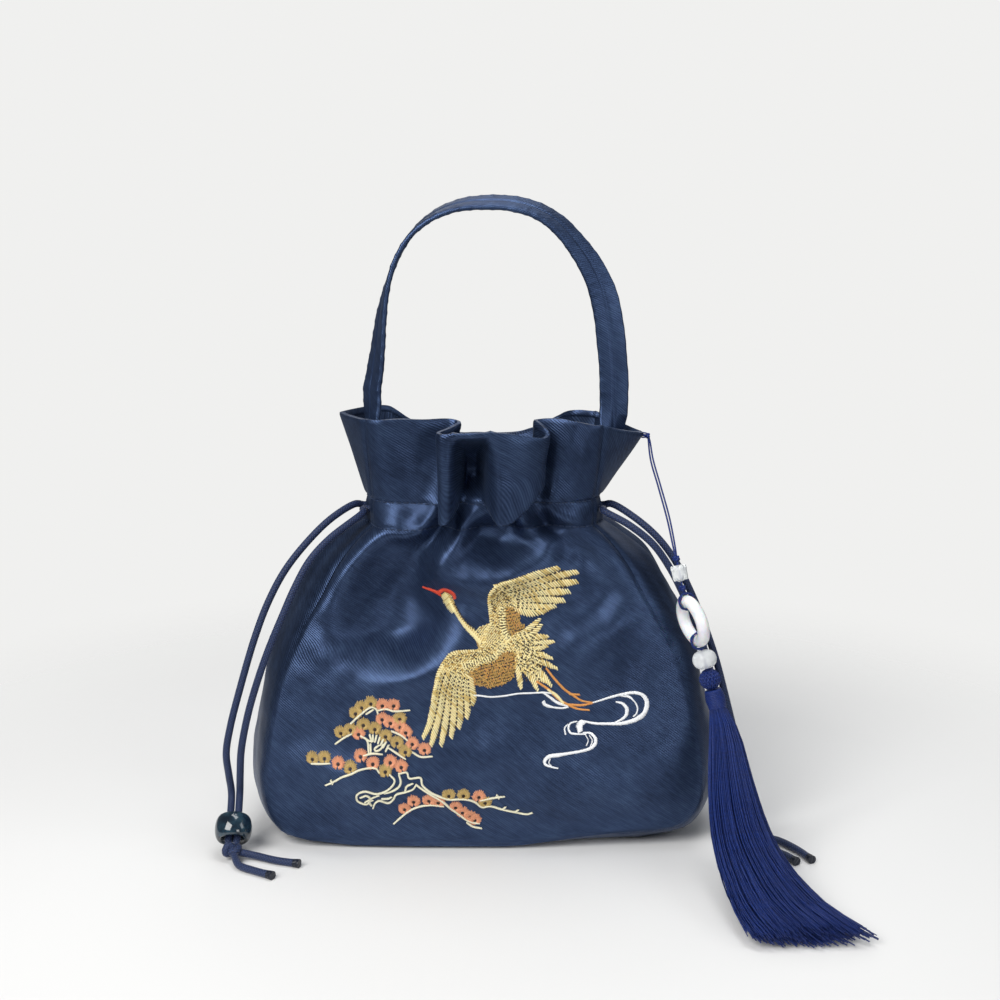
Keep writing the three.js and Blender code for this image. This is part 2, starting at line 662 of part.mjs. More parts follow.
// A flat strap from stations [x, z, turn]: turn is how far its width leans from the plane
// of the arch towards the bag's depth.
function strap(path, from, to, steps) {
  const middles = path.map(([x, z]) => vec(x, 0, z));
  const spine = new THREE.CatmullRomCurve3(middles, false, "centripetal");
  const turns = path.map(([, , turn], k) => [k / (path.length - 1), turn]);
  const positions = [];
  for (let k = 0; k <= steps; k++) {
    const at = mix(from, to, k / steps);
    const middle = spine.getPoint(at);
    const along = spine.getTangent(at);
    const turn = THREE.MathUtils.degToRad(stations(turns, at));
    const across = vec(0, 1, 0);
    const flat = along.clone().cross(across).normalize();
    const wide = flat.clone().multiplyScalar(Math.cos(turn)).addScaledVector(across, Math.sin(turn));
    const thick = wide.clone().cross(along).normalize();
    for (const [a, b] of [[-1, -1], [1, -1], [1, 1], [-1, 1]]) {
      const corner = middle.clone().addScaledVector(wide, (a * strapWidth) / 2);
      corner.addScaledVector(thick, (b * strapThickness) / 2);
      positions.push(corner.x, corner.y, corner.z);
    }
  }
  const index = [0, 1, 2, 0, 2, 3];
  const last = 4 * steps;
  index.push(last, last + 2, last + 1, last, last + 3, last + 2);
  for (let k = 0; k < steps; k++)
    for (let side = 0; side < 4; side++) {
      const a = 4 * k + side;
      const b = 4 * k + ((side + 1) % 4);
      index.push(a, b + 4, b, a, a + 4, b + 4);
    }
  return facingOut(positions, index);
}

// The arch above the collar; each end goes on below it, turned flat against the facing.
const handleArch = [
  [-53.7, 0, 51], [-53.6, 3, 52], [-52.6, 8, 54], [-50.6, 21.5, 62], [-48.6, 37.5, 72], [-45.6, 51.5, 84],
  [-41, 64.5, 90], [-34, 75.5, 88], [-24, 84, 80], [-12, 89, 72], [1, 90.5, 66],
  [14, 89.9, 64], [26, 86.5, 60], [36, 80, 54], [44.6, 70.5, 46], [51.5, 60.5, 36],
  [56.6, 49.5, 22], [59.6, 37.5, 8], [61.6, 22.5, 0], [62.9, 7.5, 0], [63, 0, 0],
].map(([x, z, turn]) => [x, handleHinge + z, turn]);
node("handle_strap", strap(handleArch, 0, 1, 44), satin);
const strapInset = clothThickness + layerGap + liningThickness + layerGap + strapThickness / 2;
const strapFootRow = 2.42;
const strapSlack = 1;
const sideCurve = 2.6; // the facing curves in this much across the strap's width
for (const [name, sign] of [["left_handle_end", -1], ["right_handle_end", 1]]) {
  const top = sign < 0 ? handleArch[0] : handleArch[handleArch.length - 1];
  const topTurn = sign < 0 ? 180 - top[2] : top[2];
  const foot = gussetPoint(sign, 0, strapFootRow);
  const footX = foot.x - sign * (strapInset + sideCurve + strapSlack);
  const flat = 90; // against the facing the width runs front to back
  const drop = handleHinge - pendantGap - foot.z;
  node(name, strap([
    [top[0], foot.z + drop, topTurn],
    [top[0], foot.z + 0.8 * drop, mix(topTurn, flat, 0.25)],
    [mix(top[0], footX, 0.6), foot.z + 0.35 * drop, mix(topTurn, flat, 0.85)],
    [footX, foot.z, flat],
  ], 0, 1, 8), satin);
}

// Pendant: a cord from the collar's right tip, a clear bead between two knots, a ring
// held by two cord loops, a lower bead and the tassel.
const tip = gussetPoint(1, 0, 3);
const tackRadius = 1.5;
const tack = tip.clone().add(vec(tackRadius + pendantGap, 0, -tackRadius));
node("pendant_tack", ball(tackRadius, tackRadius, 8, 6, tack, vec(0, 0, 1)), cordNavy);
const hangerStart = tack.clone().add(vec(0.5, 0, -tackRadius - pendantGap));
const upperKnot = vec(90.3, -38.4, 141.6);
const pendantFall = vec(0.2, -0.24, -0.95).normalize();
const hangerEnd = upperKnot.clone().addScaledVector(pendantFall, -hangerKnotRadius - pendantGap);
const hangerBends = [vec(81.2, -7, 183), vec(84, -16, 172), vec(87.4, -28, 158)];
node("pendant_cord", cord([hangerStart, ...hangerBends, hangerEnd], hangerRadius, 14), silk);
node("upper_pendant_knot", ball(hangerKnotRadius, hangerKnotRadius, 10, 6, upperKnot, pendantFall), silk);
const lotusReach = hangerKnotRadius + lotusHeight / 2 + pendantGap;
const lotus = upperKnot.clone().addScaledVector(pendantFall, lotusReach);
const lotusProfile = [
  [0, -0.5], [0.34, -0.5], [0.8, -0.32], [1, -0.02], [0.86, 0.2], [0.9, 0.36], [0.5, 0.47], [0, 0.5],
].map(([r, y]) => [r * lotusRadius, y * lotusHeight]);
node("lotus_bead", turned(lotusProfile, 16, lotus, pendantFall), clear);
const lowerKnot = lotus.clone().addScaledVector(pendantFall, lotusReach);
node("lower_pendant_knot", ball(hangerKnotRadius, hangerKnotRadius, 10, 6, lowerKnot, pendantFall), silk);

// The ring hangs nearly edge-on: its own down direction and its axis.
const ringDown = vec(0.3, -0.1, -0.95).normalize();
const ringAside = vec(0.3, -0.95, 0.2).projectOnPlane(ringDown).normalize();
const ringAxis = ringDown.clone().cross(ringAside).normalize();
const loopRadius = ringSection + loopSection + pendantGap + 0.1;
const ringWalk = ringRadius - ringSection; // from the ring's middle to the middle of its section
const loopReach = ringWalk + loopRadius + loopSection;
const ringReach = hangerKnotRadius + pendantGap + loopReach;
const ringMiddle = lowerKnot.clone().addScaledVector(ringDown, ringReach);
function hoop(radius, section, rings, sides, at, axis) {
  const geometry = new THREE.TorusGeometry(radius, section, sides, rings);
  geometry.applyQuaternion(new THREE.Quaternion().setFromUnitVectors(vec(0, 0, 1), axis));
  geometry.translate(at.x, at.y, at.z);
  return geometry;
}
node("jade_ring", hoop(ringWalk, ringSection, 24, 8, ringMiddle, ringAxis), jade);
for (const [name, way] of [["upper_ring_loop", -1], ["lower_ring_loop", 1]]) {
  const at = ringMiddle.clone().addScaledVector(ringDown, way * ringWalk);
  node(name, hoop(loopRadius, loopSection, 12, 5, at, ringAside), silk);
}
const fall = vec(0.27, -0.13, -0.95).normalize();
const lowerBeadReach = loopReach + pendantGap + lowerBeadHeight / 2;
const lowerBead = ringMiddle.clone().addScaledVector(ringDown, lowerBeadReach);
const lowerProfile = [
  [0, -0.5], [0.5, -0.5], [1, -0.1], [0.9, 0.25], [0.45, 0.5], [0, 0.5],
].map(([r, y]) => [r * lowerBeadRadius, y * lowerBeadHeight]);
node("lower_bead", turned(lowerProfile, 16, lowerBead, fall.clone().negate()), clear);
const headReach = lowerBeadHeight / 2 + pendantGap + tasselHeadRadius;
const tasselHead = lowerBead.clone().addScaledVector(fall, headReach);
node("tassel_head", ball(tasselHeadRadius, tasselHeadRadius, 14, 8, tasselHead, fall), silk);
const neckReach = tasselHeadRadius + pendantGap + tasselNeckHeight / 2;
const tasselNeck = tasselHead.clone().addScaledVector(fall, neckReach);
const neckProfile = [
  [0, -0.5], [1, -0.5], [1, 0.5], [0, 0.5],
].map(([r, y]) => [r * tasselNeckRadius, y * tasselNeckHeight]);
node("tassel_neck", turned(neckProfile, 14, tasselNeck, fall), silk);

// The skirt falls to the floor and fans out there: [middle, half width, half thickness].
const skirtTop = tasselNeckHeight / 2 + pendantGap;
const skirtStart = tasselNeck.clone().addScaledVector(fall, skirtTop);
const skirtStations = [
  [skirtStart.toArray(), tasselNeckRadius, tasselNeckRadius],
  [[112.6, -54, 62], 7.4, 7],
  [[114.2, -62, 46], 10, 8.5],
  [[115.6, -75, 31], 12.5, 9],
  [[117.8, -91, 20.5], 14.5, 8.5],
  [[122, -108, 13.5], 17, 7.5],
  [[128.5, -125, 8.4], 21, 5.6],
  [[136, -137, 5.6], 25, 4.6],
  [[141, -144, 4.2], 27, 3.6],
];
function skirt() {
  const sides = 18;
  const middles = skirtStations.map(([at]) => vec(...at));
  const spine = new THREE.CatmullRomCurve3(middles, false, "centripetal");
  const positions = [];
  const last = skirtStations.length - 1;
  skirtStations.forEach(([at, wide, thick], k) => {
    const along = k === 0 ? fall.clone() : spine.getTangent(k / last);
    const aside = vec(1, 0.08, 0).normalize();
    if (k === 0) aside.projectOnPlane(along).normalize();
    const up = along.clone().cross(aside).normalize();
    for (let j = 0; j < sides; j++) {
      const angle = (2 * Math.PI * j) / sides;
      const corner = vec(...at).addScaledVector(aside, wide * Math.cos(angle));
      corner.addScaledVector(up, thick * Math.sin(angle));
      positions.push(corner.x, corner.y, Math.max(0, corner.z));
    }
  });
  const ends = [skirtStations[0][0], skirtStations[last][0]];
  ends.forEach((at) => positions.push(...at));
  const top = sides * (last + 1);
  const index = [];
  for (let j = 0; j < sides; j++) {
    const next = (j + 1) % sides;
    index.push(top, next, j, top + 1, last * sides + j, last * sides + next);
    for (let k = 0; k < last; k++) {
      const a = k * sides + j;
      const b = k * sides + next;
      index.push(a, b, b + sides, a, b + sides, a + sides);
    }
  }
  return facingOut(positions, index);
}
node("tassel_skirt", skirt(), silk);

// Embroidery: a thread layer that follows the front, cut to each figure's outline.
const artRows = bodyRows.filter((v) => v > 0);
function threadSheet(everyColumn) {
  const columns = frontColumns.filter((s, k) => k > 0 && k % everyColumn === 0);
  const rows = sites(panelSite(-1), columns, artRows);
  return solid(layer(rows, -threadLift - threadThickness, -threadLift));
}
const artDepth = 2 * baseHalfDepth;
function prism(outline) {
  const shape = new THREE.Shape(outline.map(([x, z]) => new THREE.Vector2(x, z)));
  const geometry = new THREE.ExtrudeGeometry(shape, { depth: artDepth, bevelEnabled: false, steps: 1 });
  geometry.rotateX(Math.PI / 2);
  return solid(geometry);
}
function stroke(points, width) {
  const pieces = [];
  const half = width / 2;
  points.slice(1).forEach(([bx, bz], k) => {
    const [ax, az] = points[k];
    const long = Math.hypot(bx - ax, bz - az);
    const ux = ((bx - ax) / long) * half;
    const uz = ((bz - az) / long) * half;
    pieces.push(prism([
      [ax - ux - uz, az - uz + ux], [ax - ux + uz, az - uz - ux],
      [bx + ux + uz, bz + uz - ux], [bx + ux - uz, bz + uz + ux],
    ]));
  });
  return pieces.reduce((all, piece) => all.add(piece));
}
function disc([x, z], radius) {
  const sides = 6;
  return prism(Array.from({ length: sides }, (_, k) => {
    const angle = (2 * Math.PI * k) / sides;
    return [x + radius * Math.cos(angle), z + radius * Math.sin(angle)];
  }));
}
const stitched = (figure, everyColumn) => geometryOf(threadSheet(everyColumn).intersect(figure));

const craneOutline = [
  [-28.5, 127.7], [-19.8, 126.8], [-16, 127.9], [-12.4, 124.4], [-11.6, 120], [-7.3, 112.9],
  [-4.1, 110], [3.4, 111.9], [2.9, 122.9], [6.2, 131.5], [14, 135.4], [24.6, 138.7], [35.2, 141],
  [44.4, 137.7], [44, 133], [38.1, 123.9], [27.9, 118.1], [20.5, 116.5], [26.6, 114.8],
  [30.3, 107.1], [34.2, 100], [34.6, 91.5], [31.9, 83.7], [25.3, 80.8], [7.1, 80.8], [-4.2, 80.3],
  [-6.6, 67.5], [-15.6, 59], [-19.9, 54.6], [-27.4, 56.1], [-23.4, 78.3], [-20.5, 89.1],
  [-16.7, 95.4], [-12.5, 98.8], [-4.1, 98.8], [-0.9, 102.2], [-5.9, 109.5], [-12.9, 118.1],
  [-18.9, 121], [-19.8, 125.3],
];
const craneLegs = [
  [[26, 86], [31.9, 79.3], [37.6, 73.9], [43.3, 71.4], [51.3, 70.4]],
  [[30, 91], [35.6, 83.2], [42.3, 76.8], [50.3, 73.9]],
];
const crane = craneLegs.reduce((all, leg) => all.add(stroke(leg, 1.6 * outlineStitch)), prism(craneOutline));
node("crane_embroidery", stitched(crane, 1), goldThread);

const cloudLine = [
  [55.4, 73.9], [59.6, 76.8], [69, 78.8], [75.1, 76.8], [77.5, 72.4], [76.2, 68], [69.2, 64.5],
  [47.1, 64.5], [41.9, 61.5], [43.4, 59], [50.5, 58.1], [53.4, 53.1], [48.2, 50.6], [36.4, 50.1],
  [29.3, 47.1], [29.3, 43.1],
];
node("cloud_embroidery", stitched(stroke(cloudLine, outlineStitch), 2), whiteThread);

const pineBranches = [
  [[-59.6, 27], [-56.2, 32], [-45.7, 32], [-41.9, 35], [-43.7, 39.1], [-45, 50.6], [-50.5, 58.1],
    [-57, 63.5], [-60.2, 69], [-53.1, 73.4], [-41.8, 72.9]],
  [[-45, 50.6], [-41.1, 55.6], [-38.2, 61.5], [-39.5, 66]],
  [[-43.7, 39.1], [-52.2, 44.1], [-62.5, 46.1], [-74.3, 48.1], [-81, 47.1]],
  [[-50.5, 58.1], [-56.1, 60], [-66.5, 60]],
  [[-41.9, 35], [-34.7, 39.6], [-27.6, 34], [-9.1, 30], [1.8, 25.4], [10.9, 20.9], [22.8, 19.9]],
  [[-45, 50.6], [-37.4, 50.6], [-28.4, 52.6]],
  [[-34.7, 37.5], [-26.2, 30.5], [-32.5, 27], [-37.3, 22.4], [-42.1, 15.3]],
  [[-26.2, 30.5], [-22.5, 25.9], [-13, 23.4], [-2.5, 11.7]],
];
const pompoms = [
  [-60.2, 69], [-53.1, 73.4], [-47.5, 73.9], [-41.8, 72.9], [-57, 63.5], [-66.5, 60],
  [-61, 60.5], [-39.5, 66], [-38.2, 60], [-81, 47.1], [-74.3, 48.1], [-68, 46.5], [-62.5, 46.1],
  [-52.2, 44.1], [-28.4, 52.6], [-33.5, 52], [-39, 51.5], [-32.5, 27], [-37.3, 22.4],
  [-22.5, 25.9], [-13, 23.4], [-9.5, 19.6], [-19.1, 30.5], [-9.1, 30], [1.8, 25.4],
];
const branchLines = pineBranches.map((line) => stroke(line, outlineStitch));
const branches = branchLines.reduce((all, line) => all.add(line));
const pine = pompoms.reduce((all, at) => all.add(disc(at, pompomRadius)), branches);
node("pine_embroidery", stitched(pine, 2), coralThread);

export default bag;
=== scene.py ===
import math
import bmesh
import bpy
import numpy as np
from mathutils import Matrix, Vector


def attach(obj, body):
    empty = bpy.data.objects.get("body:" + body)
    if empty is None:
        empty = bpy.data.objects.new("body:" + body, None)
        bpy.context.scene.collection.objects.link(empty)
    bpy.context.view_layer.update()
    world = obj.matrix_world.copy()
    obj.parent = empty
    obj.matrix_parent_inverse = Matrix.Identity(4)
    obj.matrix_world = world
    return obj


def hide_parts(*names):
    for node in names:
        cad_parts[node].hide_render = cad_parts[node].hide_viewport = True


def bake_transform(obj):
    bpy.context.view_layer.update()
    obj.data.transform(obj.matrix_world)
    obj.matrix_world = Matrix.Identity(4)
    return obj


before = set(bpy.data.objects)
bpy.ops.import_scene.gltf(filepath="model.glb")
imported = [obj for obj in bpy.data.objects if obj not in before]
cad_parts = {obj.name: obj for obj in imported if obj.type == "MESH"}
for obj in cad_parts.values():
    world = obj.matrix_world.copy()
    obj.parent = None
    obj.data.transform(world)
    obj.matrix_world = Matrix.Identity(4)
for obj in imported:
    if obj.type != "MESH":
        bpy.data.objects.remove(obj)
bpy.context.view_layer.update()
bpy.ops.object.select_all(action="DESELECT")
mm = 0.001
fullTurn = 2 * math.pi
rng = np.random.default_rng(7)
print("frame loaded:", len(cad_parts), "nodes")


# Camera at the photograph's angle
shot = {"place": (0.008, -0.695, 0.300), "down": 11.25, "lens": 52.1, "sensor": 36.0}
cameraData = bpy.data.cameras.new("studioCamera")
cameraData.lens = shot["lens"]
cameraData.sensor_width = shot["sensor"]
camera = bpy.data.objects.new("studioCamera", cameraData)
camera.location = shot["place"]
camera.rotation_euler = (math.radians(90 - shot["down"]), 0, 0)
bpy.context.scene.collection.objects.link(camera)
bpy.context.scene.camera = camera


# Small helpers on arrays of points; shapes are worked out in millimetres
def unit(v):
    v = np.asarray(v, float)
    return v / np.maximum(np.linalg.norm(v, axis=-1, keepdims=True), 1e-12)


def mix(a, b, t):
    return a + (b - a) * t


def ease(t):
    t = np.clip(t, 0, 1)
    return t * t * (3 - 2 * t)


def hump(t):
    return np.exp(-np.square(t))


def lengths(path):  # how far along a path each of its points lies
    return np.concatenate([[0], np.cumsum(np.linalg.norm(np.diff(path, axis=0), axis=1))])


def walked(path, run, at):  # the places on a path after so much of its run
    return np.stack([np.interp(at, run, path[:, k]) for k in range(path.shape[1])], 1)


def throughStations(stations, at):  # smooth value between [place, value, ...] stations
    xs, ys = np.split(np.array(stations, float), [1], axis=1)
    xs = xs[:, 0]
    slopes = np.gradient(ys, xs, axis=0)
    slopes[1:-1] = (ys[2:] - ys[:-2]) / (xs[2:] - xs[:-2])[:, None]
    at = np.clip(np.asarray(at, float), xs[0], xs[-1])
    i = np.clip(np.searchsorted(xs, at, side="right") - 1, 0, len(xs) - 2)
    span = (xs[i + 1] - xs[i])[..., None]
    t = (at - xs[i])[..., None] / span
    value = (ys[i] * (2 * t ** 3 - 3 * t ** 2 + 1) + slopes[i] * span * (t ** 3 - 2 * t ** 2 + t)
             + ys[i + 1] * (3 * t ** 2 - 2 * t ** 3) + slopes[i + 1] * span * (t ** 3 - t ** 2))
    return value[..., 0] if ys.shape[1] == 1 else value


def smoothPath(points, count):  # centripetal curve through the points, evenly spaced
    p = np.array(points, float)
    p = np.vstack([2 * p[0] - p[1], p, 2 * p[-1] - p[-2]])
    t = np.linspace(0, 1, 24, endpoint=False)[:, None]
    fine = []
    for p0, p1, p2, p3 in zip(p, p[1:], p[2:], p[3:]):
        d0, d1, d2 = (max(np.linalg.norm(b - a) ** 0.5, 1e-4) for a, b in ((p0, p1), (p1, p2), (p2, p3)))
        t1 = ((p1 - p0) / d0 - (p2 - p0) / (d0 + d1) + (p2 - p1) / d1) * d1
        t2 = ((p2 - p1) / d1 - (p3 - p1) / (d1 + d2) + (p3 - p2) / d2) * d1
        fine.append(p1 + t1 * t + (3 * (p2 - p1) - 2 * t1 - t2) * t ** 2 + (2 * (p1 - p2) + t1 + t2) * t ** 3)
    fine = np.vstack(fine + [p[-2:-1]])
    run = lengths(fine)
    return walked(fine, run, np.linspace(0, run[-1], count))


# Every piece gets its material, the body it rides on and the CAD nodes that it stands for
def dress(piece, material, body, *nodes):
    if material:
        piece.data.materials.append(material)
    if body:
        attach(piece, body)
    if nodes:
        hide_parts(*nodes)
    return piece


def makeMesh(name, points, faces, uvs, material, body, *nodes, sharp=None):
    mesh = bpy.data.meshes.new(name)
    mesh.from_pydata((np.asarray(points) * mm).tolist(), [], [tuple(f) for f in faces])
    layer = mesh.uv_layers.new(name="UVMap")
    corner = np.empty(len(mesh.loops), np.int32)
    mesh.loops.foreach_get("vertex_index", corner)
    layer.data.foreach_set("uv", (np.asarray(uvs, np.float32)[corner] * mm).ravel())
    mesh.polygons.foreach_set("use_smooth", [True] * len(mesh.polygons))
    if sharp:
        mesh.set_sharp_from_angle(angle=math.radians(sharp))
    mesh.validate()
    mesh.update()
    check = bmesh.new()
    check.from_mesh(mesh)
    if check.calc_volume(signed=True) < 0:
        mesh.flip_normals()
    check.free()
    piece = bpy.data.objects.new(name, mesh)
    bpy.context.scene.collection.objects.link(piece)
    return dress(piece, material, body, *nodes)


def gridFaces(rows, columns, start=0, wrap=False):
    faces = []
    for i in range(rows - 1):
        for j in range(columns if wrap else columns - 1):
            a = start + i * columns + j
            b = start + i * columns + (j + 1) % columns
            faces.append((a, b, b + columns, a + columns))
    return faces


# One round tube along a path, its pattern running along (u) and round it (v)
def tubeParts(path, radius, sides, ends=True):
    path = np.asarray(path, float)
    radius = np.broadcast_to(np.asarray(radius, float), (len(path),))
    along = unit(np.gradient(path, axis=0))
    side = unit(np.cross(along[0], [0.31, 0.17, 0.93]))
    angle = np.linspace(0, fullTurn, sides, endpoint=False)[:, None]
    rings = []
    for here, way, r in zip(path, along, radius):
        side = unit(side - way * np.dot(side, way))
        rings.append(here + r * (np.cos(angle) * side + np.sin(angle) * np.cross(way, side)))
    points = np.vstack(rings)
    faces = gridFaces(len(path), sides, wrap=True)
    if ends:
        faces += [tuple(range(sides))[::-1], tuple(range(len(points) - sides, len(points)))]
    girth = np.abs(np.linspace(-1, 1, sides, endpoint=False)) * math.pi * radius.mean()
    return points, faces, np.stack([np.repeat(lengths(path), sides), np.tile(girth, len(path))], 1)


def tube(name, path, radius, sides, material, body, *nodes):
    return makeMesh(name, *tubeParts(path, radius, sides), material, body, *nodes, sharp=50)


def joined(parts):  # several (points, faces, uvs) as one
    faces, start = [], 0
    for points, some, _ in parts:
        faces += [tuple(start + k for k in face) for face in some]
        start += len(points)
    return np.vstack([part[0] for part in parts]), faces, np.vstack([part[2] for part in parts])


# Procedural finishes: a socket takes a value or another node's output, i2 is the input numbered 2
usualOutput = {"UVMap": "UV", "TexWave": "Fac", "TexNoise": "Fac", "TexCoord": "Object"}


def feed(tree, node, **sockets):
    for key, value in sockets.items():
        socket = node.inputs[int(key[1:]) if key[1:].isdigit() else key.replace("_", " ")]
        if isinstance(value, bpy.types.NodeSocket):
            tree.links.new(value, socket)
        else:
            socket.default_value = value


def add(tree, kind, settings=None, out=0, **sockets):
    node = tree.nodes.new("ShaderNode" + kind)
    for key, value in (settings or {}).items():
        setattr(node, key, value)
    feed(tree, node, **sockets)
    return node.outputs[usualOutput.get(kind, out)]


def shade(material, **sockets):
    feed(material.node_tree, material.node_tree.nodes["Principled BSDF"], **sockets)
    return material


def newMaterial(name, **sockets):
    material = bpy.data.materials.new(name)
    material.use_nodes = True
    return shade(material, **sockets), material.node_tree


def colourRamp(tree, source, stops, lift=1.0):
    node = tree.nodes.new("ShaderNodeValToRGB")
    elements = node.color_ramp.elements
    while len(elements) < len(stops):
        elements.new(0.5)
    for element, (place, colour) in zip(elements, stops):
        element.position = place
        element.color = (*(c * lift for c in colour), 1)
    feed(tree, node, Fac=source)
    return node.outputs["Color"]


def noise(tree, vector, scale, **sockets):
    return add(tree, "TexNoise", Vector=vector, Scale=scale, **sockets)


def bands(tree, vector, pitch, direction="X", **sockets):  # ridges, one each pitch
    return add(tree, "TexWave", {"bands_direction": direction}, Vector=vector,
               Scale=math.pi / 10 / (pitch * mm), **sockets)


def bumpOf(tree, height, strength, distance, **under):
    return add(tree, "Bump", Height=height, Strength=strength, Distance=distance * mm, **under)


# Satin: a fine diagonal twill over cloudy changes of tone
satinLook = {"dark": (0.020, 0.034, 0.076), "mid": (0.037, 0.062, 0.132), "light": (0.064, 0.106, 0.205),
             "rough": 0.38, "metal": 0.72, "twillPitch": 0.95, "twillAngle": -52}


# lift multiplies the dyed colours: above 1 it paints light on a copy of the satin, below 1 it paints shade.
def satinMaterial(name, look, lift=1.0):
    material, tree = newMaterial(name, Metallic=look["metal"], Sheen_Weight=0.06, Sheen_Roughness=0.35,
                                 Sheen_Tint=(0.45, 0.62, 1.0, 1), Specular_IOR_Level=0.3)
    uv = add(tree, "UVMap", {"uv_map": "UVMap"})
    turned = add(tree, "Mapping", Vector=uv, Rotation=(0, 0, math.radians(look["twillAngle"])))
    twill = bands(tree, turned, look["twillPitch"], Distortion=1.2, Detail=1.5, Detail_Scale=2.0)
    weave = noise(tree, uv, 2600.0, Detail=2.0)
    clouds = noise(tree, uv, 34.0, Detail=6.0, Roughness=0.68)
    streaks = noise(tree, add(tree, "Mapping", Vector=turned, Scale=(760, 120, 1)), 1.0, Detail=2.0)
    tone = add(tree, "Mix", {"data_type": "FLOAT"}, Factor=0.40, i2=clouds, i3=streaks)
    dyed = colourRamp(tree, tone, [(0.30, look["dark"]), (0.5, look["mid"]), (0.72, look["light"])], lift)
    threaded = colourRamp(tree, twill, [(0.15, (0.58, 0.60, 0.64)), (0.75, (1, 1, 1))])
    colour = add(tree, "Mix", {"data_type": "RGBA", "blend_type": "MULTIPLY"}, 2, Factor=0.75, i6=dyed, i7=threaded)
    rough = add(tree, "MapRange", Value=tone, To_Min=look["rough"] - 0.07, To_Max=look["rough"] + 0.1)
    normal = bumpOf(tree, twill, 0.55, 0.12)
    normal = bumpOf(tree, weave, 0.35, 0.06, Normal=normal)
    normal = bumpOf(tree, clouds, 0.25, 0.8, Normal=normal)
    return shade(material, Base_Color=colour, Roughness=rough, Normal=normal)


satin = satinMaterial("navySatin", satinLook)
# The strap's satin is the bag's satin made 1.25 times brighter: painted light over the whole strap.
satinStrapPaintedLight = satinMaterial("strapSatinPaintedLight", satinLook, 1.25)
# The facing inside the collar is the same satin at 0.75 of its colour: painted shade over the whole facing.
satinFacingPaintedShade = satinMaterial("facingSatinPaintedShade", satinLook, 0.75)

# Plain lining: an open square weave
liningLook = {"colour": (0.010, 0.017, 0.045), "pitch": 0.5}
liningWeave, weaveTree = newMaterial("liningWeave", Roughness=0.75, Sheen_Weight=0.1)
weaveMap = add(weaveTree, "UVMap", {"uv_map": "UVMap"})
weft, warp = (bands(weaveTree, weaveMap, liningLook["pitch"], way, Distortion=0.6) for way in "XY")
weaveNormal = bumpOf(weaveTree, warp, 0.5, 0.08, Normal=bumpOf(weaveTree, weft, 0.5, 0.08))
weaveStops = [(place, [c * share for c in liningLook["colour"]]) for place, share in ((0.3, 0.8), (0.7, 1.3))]
shade(liningWeave, Base_Color=colourRamp(weaveTree, noise(weaveTree, weaveMap, 40.0), weaveStops), Normal=weaveNormal)


# Cord and thread: crossing strands read from the tube's own map (u along, v round, in metres)
def cordMaterial(name, dark, light, pitch, rough, slant=1.0, sheen=0.2, depth=0.25):
    material, tree = newMaterial(name, Sheen_Weight=sheen, Sheen_Roughness=0.4, Roughness=rough,
                                 Specular_IOR_Level=0.35)
    uv = add(tree, "UVMap", {"uv_map": "UVMap"})
    turns = [add(tree, "Mapping", Vector=uv, Rotation=(0, 0, way * math.atan(slant))) for way in (1, -1)]
    one, other = (bands(tree, turned, pitch, Distortion=0.3) for turned in turns)
    strands = add(tree, "Math", {"operation": "MULTIPLY"}, i0=one, i1=other)
    fuzz = noise(tree, uv, 900.0, Detail=3.0)
    tone = add(tree, "Mix", {"data_type": "FLOAT"}, Factor=0.45, i2=strands, i3=fuzz)
    normal = bumpOf(tree, fuzz, 0.3, 0.08, Normal=bumpOf(tree, strands, 0.6, depth))
    return shade(material, Base_Color=colourRamp(tree, tone, [(0.15, dark), (0.65, light)]), Normal=normal)


cordBraid = cordMaterial("navyBraid", (0.006, 0.012, 0.040), (0.022, 0.044, 0.130), 1.1, 0.55)
cordTip = cordMaterial("sealedTip", (0.004, 0.006, 0.014), (0.016, 0.020, 0.034), 1.4, 0.35, sheen=0.0)
silkThread = cordMaterial("blueSilk", (0.004, 0.012, 0.085), (0.011, 0.042, 0.245), 0.6, 0.36, slant=0.4, sheen=0.03)
stitchThread = cordMaterial("navyStitch", (0.012, 0.024, 0.060), (0.040, 0.070, 0.150), 0.4, 0.45, slant=0.8,
                            sheen=0.05)


# Glaze and stone: soft spots of colour through the piece
def spottedMaterial(name, stops, scale, spots, **sockets):
    material, tree = newMaterial(name, **sockets)
    return shade(material, Base_Color=colourRamp(tree, noise(tree, add(tree, "TexCoord"), scale, **spots), stops))


glaze = spottedMaterial("darkGlaze", [(0.35, (0.004, 0.010, 0.019)), (0.55, (0.010, 0.027, 0.044)),
                                      (0.75, (0.026, 0.062, 0.088))], 230.0, {"Detail": 3.0},
                        Roughness=0.12, Coat_Weight=0.6, Coat_Roughness=0.05)
whiteJade = spottedMaterial("whiteJade", [(0.3, (0.76, 0.79, 0.84)), (0.5, (0.86, 0.88, 0.90)),
                                          (0.7, (0.92, 0.92, 0.93))], 160.0, {"Detail": 4.0, "Distortion": 0.6},
                            Roughness=0.22, Coat_Weight=0.3, Subsurface_Weight=0.35, Subsurface_Scale=0.003)
frostBead, _ = newMaterial("frostBead", Base_Color=(0.93, 0.955, 0.96, 1), Roughness=0.32,
                           Transmission_Weight=0.45, IOR=1.30, Coat_Weight=0.25, Coat_Roughness=0.1)


